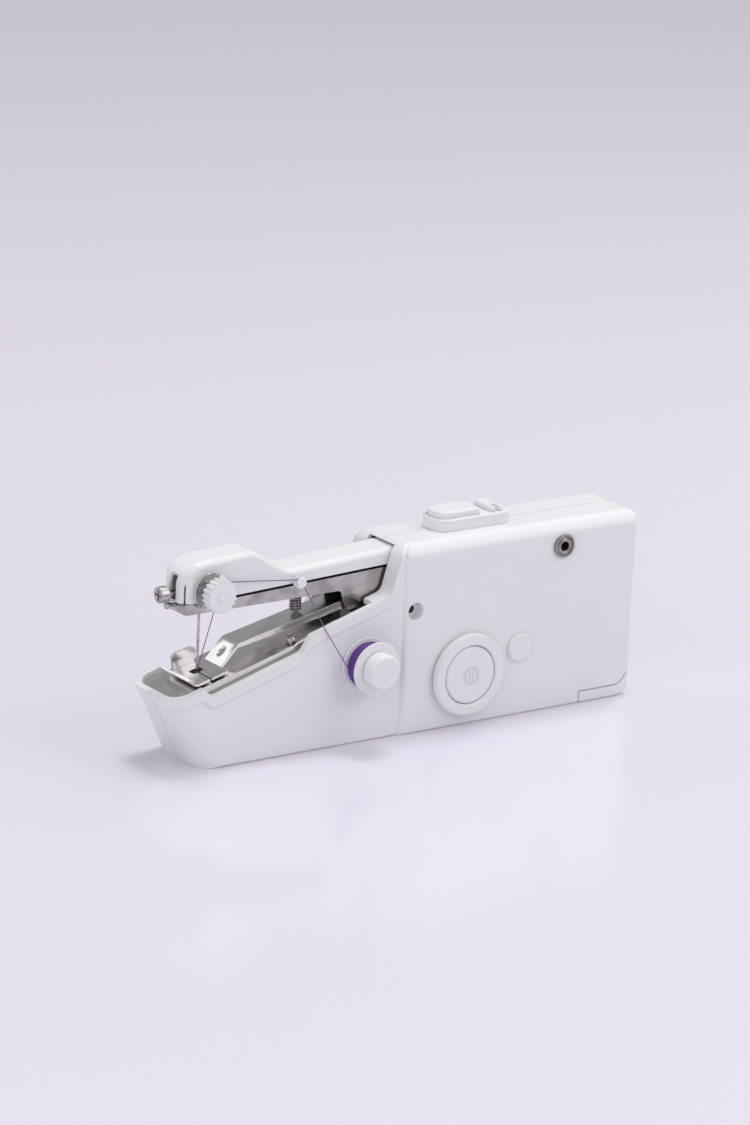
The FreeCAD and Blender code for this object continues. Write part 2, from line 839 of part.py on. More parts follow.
def case_halves():
    block, shell = case_shell()
    far = s.block_length * 2
    front_edge = s.parting_shift - s.parting_gap / 2
    rear_edge = s.parting_shift + s.parting_gap / 2
    front_room = box("front_room", (-far, far), (-far, front_edge), (-far, far))
    rear_room = box("rear_room", (-far, far), (rear_edge, far), (-far, far))
    stem_hole = rod("stem_hole", s.button_stem + s.face_gap, "Z", (button_x, zero, roof - s.wall), s.wall * 3)
    cover_room = cover_zone("cover_room", zero)
    floor_room = box("cover_floor_room", (cover_floor_start, cover_start + s.wall),
                     (-inner_block, inner_block),
                     (-s.wall, s.wall))
    ribs = {}
    for label, near, wide in (("front", -inner_block, front_edge), ("rear", rear_edge, inner_block)):
        out = -1 if label == "front" else 1
        wall_side = as_dim(out) * (inner_block + s.wall / 2)
        span = (wall_side, wide) if label == "front" else (near, wall_side)
        divider = box(label + "_divider", (cover_floor_start - s.divider, cover_floor_start), span,
                      (s.wall / 2, cell_roof + s.wall))
        ceiling = box(label + "_ceiling", (cover_floor_start - s.divider, rear_inside + s.wall / 2), span,
                      (cell_roof, cell_roof + s.wall))
        shelf = box(label + "_shelf", module_x, span, (module_low - s.shelf, module_low))
        screw_y = as_dim(out) * s.bed_screw_y
        rib_low, rib_high = -s.bed_screw_x - s.screw_boss, -s.bed_screw_x + s.screw_boss
        under = bed_z(rib_low) - s.bed_sheet
        under_far = bed_z(rib_high) - s.bed_sheet
        bed_rib = prism(label + "_bed_rib", "XZ", [
            (rib_low, s.wall / 2), (rib_high, s.wall / 2), (rib_high, under_far), (rib_low, under)],
            screw_y - bed_rib_half, screw_y + bed_rib_half)
        pillar_y = (-s.presser_lug_half, front_edge) if label == "front" else (rear_edge, s.presser_lug_half)
        pillar = box(label + "_pillar", bracket_x, pillar_y, (s.wall / 2, bracket_low))
        ribs[label] = [divider, ceiling, shelf, bed_rib, pillar]
    looper_guide = box("looper_guide", (-s.looper_reach + s.looper_guide_inset,
                                        -s.looper_reach + s.looper_guide_inset + s.wall * 2),
                       (rear_edge, half_housing - s.wall / 2),
                       (s.wall / 2, s.looper_z + s.looper_guide_rise))
    motor_saddle = box("motor_saddle", (motor_x - s.motor_radius, motor_x + s.motor_radius),
                       (motor_back - s.motor_length / 2, inner_block + s.wall / 2),
                       (motor_z - s.motor_radius - s.wall, motor_z - s.motor_radius / 2))
    ribs["rear"] += [looper_guide, motor_saddle]
    bosses = {"front": [], "rear": []}
    holes = {"front": [], "rear": []}
    wall_front = -inner_block - s.wall / 2
    wall_rear = inner_block + s.wall / 2

    def boss(label, name, radius, x, z, until):
        low, high = (wall_front, as_dim(until)) if label == "front" else (as_dim(until), wall_rear)
        bosses[label].append(rod(name, radius, "Y", (x, low, z), high - low))

    def hole(label, name, radius, x, z, low, high):
        holes[label].append(rod(name, radius, "Y", (x, low, z), as_dim(high) - low))

    boss("front", "pivot_boss_front", s.pivot_boss, s.pivot_x, s.pivot_z, -s.throat_half)
    boss("rear", "pivot_boss_rear", s.pivot_boss, s.pivot_x, s.pivot_z, s.throat_half)
    boss("front", "bush_boss", bush_radius + s.boss_wall, s.crank_x, s.crank_z, bush_back)
    boss("front", "idler_boss_front", s.idler_pin + s.boss_wall, idler_x, idler_z, s.gear_front - s.face_gap)
    boss("rear", "idler_boss_rear", s.idler_pin + s.boss_wall, idler_x, idler_z,
         idler_large_front + s.idler_width + s.face_gap)
    bosses["front"].append(rod("spindle_boss", s.spool_pin + s.boss_wall, "Y",
                               (-s.spool_x, -inner_housing - s.wall / 2, s.spool_z), s.cap_grip + s.wall / 2))
    hole("front", "pivot_window", s.pivot_window, s.pivot_x, s.pivot_z, -half_block - s.wall, pivot_front)
    hole("front", "pivot_bore_front", s.pivot_pin + s.seat_gap, s.pivot_x, s.pivot_z, pivot_front - s.wall,
         zero)
    hole("rear", "pivot_bore_rear", s.pivot_pin + s.seat_gap, s.pivot_x, s.pivot_z, zero, -pivot_front)
    hole("front", "bush_bore", bush_radius + s.seat_gap, s.crank_x, s.crank_z, -half_block - s.wall, zero)
    hole("front", "idler_bore_front", s.idler_pin + s.seat_gap, idler_x, idler_z, -inner_block, zero)
    hole("front", "plug_hole", s.plug_stub + s.seat_gap, idler_x, idler_z, -half_block - s.wall, -inner_block)
    hole("rear", "idler_bore_rear", s.idler_pin + s.seat_gap, idler_x, idler_z, -inner_block, inner_block)
    hole("front", "jack_hole", s.jack_neck + s.seat_gap, jack_x, jack_z, -half_block - s.wall,
         -inner_block + s.wall / 2)
    hole("front", "spindle_hole", s.spool_pin + s.seat_gap, -s.spool_x, s.spool_z, -half_housing - s.wall,
         -inner_housing + s.cap_grip)
    for index, (x, z) in enumerate(screw_places):
        housing_side = x.value < 0
        rear_wall = half_housing if housing_side else half_block
        boss("front", f"screw_boss_front{index}", s.screw_boss, x, z, front_edge)
        boss("rear", f"screw_boss_rear{index}", s.screw_boss, x, z, rear_edge)
        hole("rear", f"screw_way{index}", s.screw_shank + s.seat_gap, x, z, zero, rear_wall + s.wall)
        seat = rear_wall - s.screw_sink - s.screw_cap
        hole("rear", f"screw_seat{index}", s.screw_head + s.face_gap, x, z, seat,
             rear_wall + s.wall)
        hole("front", f"screw_pilot{index}", s.screw_shank + s.seat_gap, x, z, -s.screw_grip - s.wall / 2,
             s.wall)
    looper_hole = rod("looper_bore", s.looper_radius + s.run_gap, "X",
                      (-s.looper_reach, s.looper_y, s.looper_z),
                      s.looper_reach + s.wall)
    saddle_hole = rod("saddle_bore", s.motor_radius + s.seat_gap, "Y", (motor_x, zero, motor_z), inner_block)
    holes["rear"] += [looper_hole, saddle_hole]
    for label, screw_y in (("front", -s.bed_screw_y), ("rear", s.bed_screw_y)):
        holes[label].append(rod(label + "_bed_screw_hole", s.bed_screw_shank + s.seat_gap, "Z",
                                (-s.bed_screw_x, screw_y,
                                 bed_z(-s.bed_screw_x) - s.bed_screw_length - s.wall),
                                s.bed_screw_length + s.wall))
    for label, room in (("front", front_room), ("rear", rear_room)):
        half = common(label + "_half", shell, room)
        ribbed = fuse(label + "_ribbed", half, *ribs[label], *bosses[label])
        inside = common(label + "_trimmed", ribbed, outside_limit)
        node(cut(label + "_case", inside, *holes[label], stem_hole, cover_room, floor_room), label + "_case")
    cover_block = cut("cover_block", block, box("cover_hollow", (zero, rear_inside),
                                                (-inner_block, inner_block),
                                                (s.wall, s.block_height)))
    cover_edge = common("cover_edge", cover_block, cover_zone("cover_inner_zone", s.cover_groove))
    floor_plate = box("cover_floor", (cover_floor_start + s.face_gap, rear_inside),
                      (-inner_block + s.face_gap, inner_block - s.face_gap), (zero, s.wall))
    pad_rib = box("cover_pad", (cover_floor_start + s.wall, rear_inside - s.wall * 2), (-s.wall, s.wall),
                  (s.wall / 2, s.cell_floor - s.cell_play - s.contact_sheet))
    node(fuse("battery_cover", cover_edge, floor_plate, pad_rib), "battery_cover")


def case_screws():
    screws = []
    for index, (x, z) in enumerate(screw_places):
        rear_wall = half_housing if x.value < 0 else half_block
        seat = rear_wall - s.screw_sink - s.screw_cap
        shank = rod(f"screw_shank{index}", s.screw_shank, "Y", (x, -s.screw_grip, z), seat + s.screw_grip)
        cap = rod(f"screw_cap{index}", s.screw_head, "Y", (x, seat, z), s.screw_cap)
        slot = box(f"screw_slot{index}", (x - s.screw_head, x + s.screw_head),
                   (seat + s.screw_cap / 2, seat + s.screw_cap * 2),
                   (z - s.contact_sheet, z + s.contact_sheet))
        screws.append(cut(f"case_screw{index}", fuse(f"screw_blank{index}", shank, cap), slot))
    node(group("case_screws", *screws), "case_screws")


# Bed and presser
def bed_pieces():
    rear = -s.bed_rear
    front = -s.bed_front
    plate = prism("bed_top", "XZ", [(front, bed_z(front)), (rear, bed_z(rear)),
                                    (rear, bed_z(rear) - s.bed_sheet),
                                    (front, bed_z(front) - s.bed_sheet)], -s.bed_half, s.bed_half)
    flange_front = front + s.bed_flange_rake
    flanges = []
    for out in (-1, 1):
        edge = as_dim(out) * s.bed_half
        inner = as_dim(out) * (s.bed_half - s.bed_sheet)
        low, high = (edge, inner) if out < 0 else (inner, edge)
        name = "bed_flange_front" if out < 0 else "bed_flange_rear"
        flanges.append(prism(name, "XZ", [
            (front, bed_z(front)), (rear, bed_z(rear)), (rear, bed_z(rear) - s.bed_flange),
            (flange_front, bed_z(flange_front) - s.bed_flange), (front, bed_z(front) - s.bed_sheet)], low,
            high))
    window = box("bed_window", (-s.bed_window, zero), (-s.bed_window_half, s.bed_window_half),
                 (zero, s.block_height))
    needle_hole = box("bed_needle_hole", (-s.needle_x - s.needle_hole_length / 2,
                                          -s.needle_x + s.needle_hole_length / 2),
                      (-s.needle_hole_half, s.needle_hole_half), (zero, s.block_height))
    screw_holes = [rod("bed_hole_" + name, s.bed_screw_shank + s.seat_gap, "Z", (-s.bed_screw_x, at_y, zero),
                       s.block_height) for name, at_y in (("a", -s.bed_screw_y), ("b", s.bed_screw_y))]
    plan = plan_block("bed_plan", (front, rear), s.bed_half, s.bed_corner, zero, zero, s.block_height)
    sheet_bent = common("bed_sheet", fuse("bed_blank", plate, *flanges), plan)
    node(cut("bed_channel", sheet_bent, window, needle_hole, *screw_holes), "bed_channel")
    screws = []
    high = bed_z(-s.bed_screw_x + s.bed_screw_head)
    for out in (-1, 1):
        at_y = as_dim(out) * s.bed_screw_y
        name = "a" if out < 0 else "b"
        foot = bed_z(-s.bed_screw_x) - s.bed_screw_length
        shank = rod("bed_screw_shank_" + name, s.bed_screw_shank, "Z", (-s.bed_screw_x, at_y, foot),
                    high - foot)
        head = turned("bed_screw_head_" + name, "Z", (-s.bed_screw_x, at_y, high), [
            (zero, zero), (s.bed_screw_head, zero), (s.bed_screw_head, s.bed_screw_cap / 2),
            (s.bed_screw_crown, s.bed_screw_cap), (zero, s.bed_screw_cap)])
        screws.append(fuse("bed_screw_" + name, shank, head))
    node(group("bed_screws", *screws), "bed_screws")


def presser_pieces():
    half = s.presser_half
    sheet_z = s.presser_sheet
    heel = -s.foot_heel
    toe = -s.foot_toe
    foot_line = s.foot_lift + sheet_z

    def foot_z(x):
        return bed_z(x) + foot_line

    front = -s.presser_front
    rear = -s.presser_rear
    ramp_in = sheet_z * 1.3
    strip = prism("presser_strip", "XZ", [
        (rear, presser_z(rear)), (front, presser_z(front)), (heel, foot_z(heel)),
        (heel - ramp_in, foot_z(heel - ramp_in)), (heel - ramp_in, foot_z(heel - ramp_in) - sheet_z),
        (heel + sheet_z / 2, foot_z(heel) - sheet_z), (front + sheet_z / 2, presser_z(front) - sheet_z),
        (rear, presser_z(rear) - sheet_z)], -half, half)
    tip = toe - s.toe_length
    tip_z = foot_z(toe) + s.toe_rise
    foot = prism("presser_foot", "XZ", [
        (heel, foot_z(heel)), (toe, foot_z(toe)), (tip, tip_z), (tip - sheet_z * 0.7, tip_z - sheet_z * 0.7),
        (toe, foot_z(toe) - sheet_z), (heel, foot_z(heel) - sheet_z)], -s.foot_front, s.foot_back,
        {1: s.toe_length, 4: s.toe_length + sheet_z})
    flanges = []
    for low, high, name in ((-half, -half + sheet_z, "a"), (half - sheet_z, half, "b")):
        flanges.append(prism("presser_flange_" + name, "XZ", [
            (rear, presser_z(rear)), (front, presser_z(front)),
            (front, presser_z(front) - s.presser_flange_front),
            (-s.presser_pin_x - s.presser_flange_rear, presser_z(-s.presser_pin_x) - s.presser_flange_rear),
            (rear, presser_z(rear) - s.presser_flange_rear)], low, high))
    tab_top = s.tab_height
    tab = prism("presser_tab", "XZ", [
        (-s.tab_front, foot_z(-s.tab_front) - sheet_z), (-s.tab_back, foot_z(-s.tab_back) - sheet_z),
        (-s.tab_back + s.tab_flare / 2, foot_z(-s.tab_back) + tab_top),
        (-s.tab_front - s.tab_flare, foot_z(-s.tab_front) + tab_top)], s.foot_back - sheet_z, s.foot_back,
        {2: s.tab_flare, 3: s.tab_flare})
    slot = box("foot_slot", (-s.needle_x - s.slot_length / 2, -s.needle_x + s.slot_length / 2),
               (-s.slot_half, s.slot_half), (zero, s.block_height))
    slit = box("foot_slit", (-s.needle_x - s.slit_width, -s.needle_x), (-s.foot_front - s.wall, zero),
               (zero, s.block_height))
    hole_at = (front + heel) / 2
    ramp_hole = rod("ramp_hole", s.ramp_hole, "Z", (hole_at, zero, zero), s.block_height)
    pin_bore = rod("presser_bore", s.presser_pin + s.run_gap, "Y",
                   (-s.presser_pin_x, -s.block_depth, presser_pin_z),
                   s.block_depth * 2)
    pieces = fuse("presser_sheet_all", strip, foot, *flanges, tab)
    node(cut("presser_plate", pieces, slot, slit, ramp_hole, pin_bore), "presser_plate")
    node(rod("presser_pin", s.presser_pin, "Y", (-s.presser_pin_x, -half, presser_pin_z), half * 2),
         "presser_pin")
    base = box("bracket_base", bracket_x, (-s.presser_lug_half, s.presser_lug_half),
               (bracket_low, bracket_low + s.presser_lug))
    lugs = []
    for low, high, name in ((-s.presser_lug_half, -s.presser_lug_half + s.presser_lug, "a"),
                            (s.presser_lug_half - s.presser_lug, s.presser_lug_half, "b")):
        lugs.append(box("bracket_lug_" + name, bracket_x, (low, high),
                        (bracket_low, presser_pin_z + s.presser_pin + s.bracket_rise)))
    lug_bore = rod("lug_bore", s.presser_pin + s.seat_gap, "Y",
                   (-s.presser_pin_x, -s.block_depth, presser_pin_z),
                   s.block_depth * 2)
    node(cut("presser_bracket", fuse("bracket_blank", base, *lugs), lug_bore), "presser_bracket")
    spring_low = presser_z(-s.spring_x + s.spring_radius + s.spring_wire / 2).value
    spring_high = arm_z(-s.spring_x + s.spring_radius - s.spring_wire / 2).value - s.arm_sheet.value
    node(coil("presser_spring", Vector(-s.spring_x.value, 0, spring_low), Vector(0, 0, 1),
              s.spring_radius.value,
              s.spring_wire.value, s.spring_turns.value, spring_high - spring_low, s.spring_wire.value * 2),
         "presser_spring")


# Needle arm
def arm_pieces():
    nose = -s.arm_nose
    step = (-s.arm_step_front, -s.arm_step_back)
    tail = s.arm_tail
    sheet_in = s.arm_half - s.arm_sheet
    outline = [(nose, arm_z(nose)), (nose, s.arm_lower), (-s.arm_bend, s.arm_lower),
               (step[0], s.arm_lower), (step[1], s.arm_step_low), (s.pivot_x - s.hub_radius, s.arm_step_low),
               (s.pivot_x, s.arm_tail_low), (tail, s.arm_tail_low), (tail, arm_z(tail))]
    plates = []
    for low, high, name in ((-s.arm_half, -sheet_in, "front"), (sheet_in, s.arm_half, "rear")):
        plates.append(prism("arm_plate_" + name, "XZ", outline, low, high, {3: s.wall, 4: s.wall, 7: s.wall}))
    web = prism("arm_web", "XZ", [(nose, arm_z(nose)), (nose, arm_z(nose) - s.arm_sheet),
                                  (tail, arm_z(tail) - s.arm_sheet), (tail, arm_z(tail))], -s.arm_half,
                                  s.arm_half)
    floor = box("arm_nose_floor", (nose, -s.clamp_back), (-s.arm_half, s.arm_half),
                (s.arm_lower, s.arm_lower + s.arm_sheet))
    end = box("arm_nose_end", (nose, nose + s.arm_sheet), (-s.arm_half, s.arm_half),
              (s.arm_lower, arm_z(nose)))
    pin_hole = rod("arm_pin_hole", s.pivot_pin + s.run_gap, "Y", (s.pivot_x, -s.block_depth, s.pivot_z),
                   s.block_depth * 2)
    needle_way = rod("arm_needle_way", s.needle_way, "Z", (-s.needle_x, zero, zero), s.block_height)
    screw_way = rod("arm_screw_way", s.clamp_screw_bore, "X",
                    (nose - s.wall, zero, s.clamp_screw_height),
                    s.wall * 2)
    blank = fuse("arm_blank", *plates, web, floor, end)
    node(cut("arm_channel", blank, pin_hole, needle_way, screw_way), "arm_channel")
    node(rod("arm_pivot_pin", s.pivot_pin, "Y", (s.pivot_x, pivot_front, s.pivot_z), -pivot_front * 2),
         "arm_pivot_pin")
    cover_outline = [
        (s.cover_rear, arm_z(s.cover_rear)), (s.cover_rear, s.cover_rear_top),
        (-s.cover_neck, s.cover_neck_top),
        (-s.cover_head_back, s.cover_head_back_top), (-s.cover_head_front, s.cover_head_front_top),
        (-s.cover_nose, s.cover_nose_top), (-s.cover_nose, arm_z(-s.cover_nose))]
    skin = s.cover_wall
    outer = prism("cover_outer", "XZ", cover_outline, -s.cover_half, s.cover_half,
                  {2: s.cover_neck_round, 3: s.cover_head_round, 5: s.cover_nose_round})
    inner_half = s.cover_half - skin
    hollow = prism("cover_hollow_inside", "XZ", [
        (s.cover_rear + skin, arm_z(s.cover_rear + skin) - skin),
        (s.cover_rear + skin, s.cover_rear_top - skin),
        (-s.cover_neck, s.cover_neck_top - skin), (-s.cover_head_back, s.cover_head_back_top - skin * 1.2),
        (-s.cover_head_front, s.cover_head_front_top - skin),
        (-s.cover_nose + skin, s.cover_nose_top - skin * 1.3),
        (-s.cover_nose + skin, arm_z(-s.cover_nose) - skin)], -inner_half, inner_half,
        {2: s.cover_neck_round, 3: s.cover_head_round - skin, 5: s.cover_nose_round - skin})
    edge_y = s.cover_half.value
    edged = rounded("cover_edged", outer, s.cover_edge_round,
                    lambda edge: abs(abs(edge.CenterOfMass.y) - edge_y) < 0.001
                    and edge.CenterOfMass.z > s.cover_neck_top.value - s.cover_edge_round.value
                    and edge.CenterOfMass.x < s.cover_rear.value - 0.5
                    and abs(edge.CenterOfMass.x + s.cover_nose.value) > 0.01)
    plan = prism("cover_plan", "XY", [(-s.cover_nose, -s.cover_half), (s.cover_rear, -s.cover_half),
                                      (s.cover_rear, s.cover_half), (-s.cover_nose, s.cover_half)],
                 zero, s.block_height * 2, {0: s.cover_nose_plan, 3: s.cover_nose_plan})
    nosed = common("cover_nosed", edged, plan)
    stud_way = rod("cover_stud_way", s.tension_stud + s.seat_gap, "Y",
                   (-s.tension_x, -s.cover_half - s.wall, s.tension_z), s.cover_half)
    slot = box("cover_nose_slot", (-s.cover_nose - s.wall, -s.cover_nose + s.wall),
               (-s.cover_slot_half, s.cover_slot_half), (s.arm_lower, s.cover_slot_top))
    guide_way = rod("cover_guide_way", s.guide_stem + s.seat_gap, "Y",
                    (-s.guide_x, -s.cover_half - s.wall, s.guide_z), s.wall + guide_sunk)
    node(cut("arm_cover", nosed, hollow, stud_way, slot, guide_way), "arm_cover")


def drive_lever():
    rest_x = s.crank_x - s.crank_throw * lever_side[0]
    rest_z = s.crank_z - s.crank_throw * lever_side[1]
    thick = (s.lever_front, s.lever_front + s.lever_sheet)
    hub = rod("lever_hub", s.hub_radius, "Y", (s.pivot_x, -hub_half, s.pivot_z), hub_half * 2)
    wide_hub = rod("lever_hub_disc", s.hub_radius + s.wall, "Y", (s.pivot_x, thick[0], s.pivot_z),
                   s.lever_sheet)
    eye = rod("lever_eye", s.lever_eye, "Y", (rest_x, thick[0], rest_z), s.lever_sheet)
    reach = (Vector(rest_x.value, 0, rest_z.value) - Vector(s.pivot_x.value, 0, s.pivot_z.value))
    tilt = math.degrees(math.atan2(-reach.z, reach.x))
    beam = doc.addObject("Part::Box", "lever_beam")
    beam.Length = reach.Length
    bind(beam, "Width", s.lever_sheet)
    bind(beam, "Height", s.lever_depth)
    lift = Rotation(Vector(0, 1, 0), tilt).multVec(Vector(0, 0, -s.lever_depth.value / 2))
    beam.Placement = Placement(Vector(s.pivot_x.value + lift.x, thick[0].value, s.pivot_z.value + lift.z),
                               Rotation(Vector(0, 1, 0), tilt))
    bore = rod("lever_bore", s.pivot_pin + s.run_gap, "Y", (s.pivot_x, -s.block_depth, s.pivot_z),
               s.block_depth * 2)
    slot_half = s.crank_pin + s.crank_play
    slot_long = s.crank_throw + s.crank_pin + s.crank_play
    slot = doc.addObject("Part::Box", "lever_slot")
    bind(slot, "Length", (slot_long - slot_half) * 2)
    bind(slot, "Width", s.lever_sheet * 3)
    bind(slot, "Height", slot_half * 2)
    corner = Rotation(Vector(0, 1, 0), tilt).multVec(Vector(slot_half.value - slot_long.value, 0,
                                                            -slot_half.value))
    slot.Placement = Placement(Vector(rest_x.value + corner.x, thick[0].value - s.lever_sheet.value,
                                      rest_z.value + corner.z), Rotation(Vector(0, 1, 0), tilt))
    ends = []
    for sign in (-1, 1):
        shift = Rotation(Vector(0, 1, 0), tilt).multVec(Vector(sign * (slot_long - slot_half).value, 0, 0))
        end = rod("lever_slot_end_" + ("a" if sign < 0 else "b"), slot_half, "Y",
                  (rest_x + shift.x, thick[0] - s.lever_sheet, rest_z + shift.z), s.lever_sheet * 3)
        ends.append(end)
    blank = fuse("lever_blank", hub, wide_hub, eye, beam)
    node(cut("drive_lever", blank, bore, slot, *ends), "drive_lever")


def needle_pieces():
    base = arm_z(-s.clamp_front)
    top = arm_z(-s.clamp_back) + s.clamp_height
    block = prism("clamp_block", "XZ", [
        (-s.clamp_front, base), (-s.clamp_back, arm_z(-s.clamp_back)), (-s.clamp_back, top),
        (-s.clamp_front, top)],
        -s.clamp_half, s.clamp_half)
    shank_bore = rod("clamp_bore", s.needle_shank + s.seat_gap, "Z", (-s.needle_x, zero, zero), s.needle_top)
    screw_bore = rod("clamp_screw_bore", s.needle_screw_shank + s.run_gap, "X",
                     (-s.clamp_front - s.wall, zero, s.needle_screw_height),
                     s.clamp_front + s.wall - s.needle_x - s.needle_shank / 2)
    stud_bore = rod("clamp_stud_bore", s.tension_stud + s.seat_gap, "Y",
                    (-s.tension_x, -s.clamp_half, s.tension_z),
                    s.wall)
    node(cut("needle_clamp", block, shank_bore, screw_bore, stud_bore), "needle_clamp")
    needle = turned("needle_body", "Z", (-s.needle_x, zero, zero), [
        (zero, s.needle_tip), (s.needle_blade, s.needle_tip + s.needle_taper),
        (s.needle_blade, s.needle_step - s.wall / 2), (s.needle_shank, s.needle_step),
        (s.needle_shank, s.needle_top),
        (zero, s.needle_top)])
    eye_low = s.needle_tip + s.needle_taper
    eye = box("needle_eye_cut", (-s.needle_x - s.needle_blade / 2, -s.needle_x + s.needle_blade / 2),
              (-s.needle_shank, s.needle_shank), (eye_low, eye_low + s.needle_eye))
    node(cut("needle", needle, eye), "needle")
    shank = rod("needle_screw_shank_rod", s.needle_screw_shank, "X",
                (-s.needle_screw_start, zero, s.needle_screw_height),
                s.needle_screw_start - s.needle_x - s.needle_shank - s.run_gap)
    head = rod("needle_screw_knob", s.needle_screw_head, "X",
               (-s.needle_screw_end, zero, s.needle_screw_height),
               s.needle_screw_end - s.needle_screw_start)
    slots = []
    for name, wide, tall in (("a", s.needle_screw_slot / 2, s.needle_screw_cross),
                             ("b", s.needle_screw_cross, s.needle_screw_slot / 2)):
        slots.append(box("needle_screw_cross_" + name,
                         (-s.needle_screw_end - s.wall, -s.needle_screw_end + s.wall / 2),
                         (-wide, wide), (s.needle_screw_height - tall, s.needle_screw_height + tall)))
    node(cut("needle_screw", fuse("needle_screw_blank", shank, head), *slots), "needle_screw")
    screw_tip = -s.arm_nose - s.clamp_screw_reach
    screw_head = rod("clamp_screw_knob", s.clamp_screw_head, "X", (screw_tip, zero, s.clamp_screw_height),
                     s.wall)
    screw_stem = rod("clamp_screw_stem", s.clamp_screw_bore - s.seat_gap, "X",
                     (screw_tip, zero, s.clamp_screw_height), s.clamp_screw_reach + s.wall)
    node(fuse("clamp_screw", screw_head, screw_stem), "clamp_screw")


def tension_pieces():
    x, z = -s.tension_x, s.tension_z
    face = -s.cover_half
    inner = face - s.tension_sheet
    outer = inner - s.tension_pinch
    outer_back = outer - s.tension_sheet
    knob_face = outer_back - s.tension_spring_length
    stud_bore = s.tension_stud + s.run_gap
    node(rod("tension_stud", s.tension_stud, "Y", (x, knob_face - s.tension_knob_length + s.wall / 2, z),
             -s.clamp_half + s.wall / 2 - (knob_face - s.tension_knob_length + s.wall / 2)), "tension_stud")
    node(turned("tension_disc_inner", "Y", (x, zero, z), [
        (stud_bore, face), (s.tension_disc_small, face), (s.tension_disc_small, inner), (stud_bore, inner)]),
        "tension_disc_inner")
    node(turned("tension_disc_outer", "Y", (x, zero, z), [
        (stud_bore, outer), (s.tension_flat, outer), (s.tension_disc, outer - s.tension_flare),
        (s.tension_disc, outer_back - s.tension_flare), (s.tension_flat_back, outer_back),
        (stud_bore, outer_back)]), "tension_disc_outer")
    node(coil("tension_spring", Vector(x.value, outer_back.value, z.value), Vector(0, -1, 0),
              s.tension_spring_radius.value, s.tension_wire.value, s.tension_turns.value,
              s.tension_spring_length.value, s.tension_lead.value), "tension_spring")
    knob_end = knob_face - s.tension_knob_length
    body = turned("knob_body", "Y", (x, zero, z), [
        (zero, knob_face), (s.tension_knob_root, knob_face), (s.tension_knob_root, knob_end + s.wall / 2),
        (s.tension_knob_root - s.wall / 2, knob_end), (zero, knob_end)])
    boss = rod("knob_boss", s.tension_boss, "Y", (x, knob_end - s.tension_boss_height, z),
               s.tension_boss_height + s.wall)
    rib_radius = s.tension_rib
    ribs = []
    for index in range(int(s.tension_teeth.value)):
        angle = 2 * math.pi * index / s.tension_teeth.value
        middle = s.tension_knob - rib_radius
        ribs.append(rod(f"knob_rib{index}", rib_radius, "Y",
                        (x + middle * math.cos(angle), knob_end + s.tension_rib_inset,
                         z + middle * math.sin(angle)),
                        s.tension_knob_length - s.tension_rib_inset))
    bore = rod("knob_bore", stud_bore, "Y", (x, knob_end + s.wall / 2 - s.face_gap, z), s.tension_knob_length)
    node(cut("tension_knob", fuse("knob_blank", body, boss, *ribs), bore), "tension_knob")


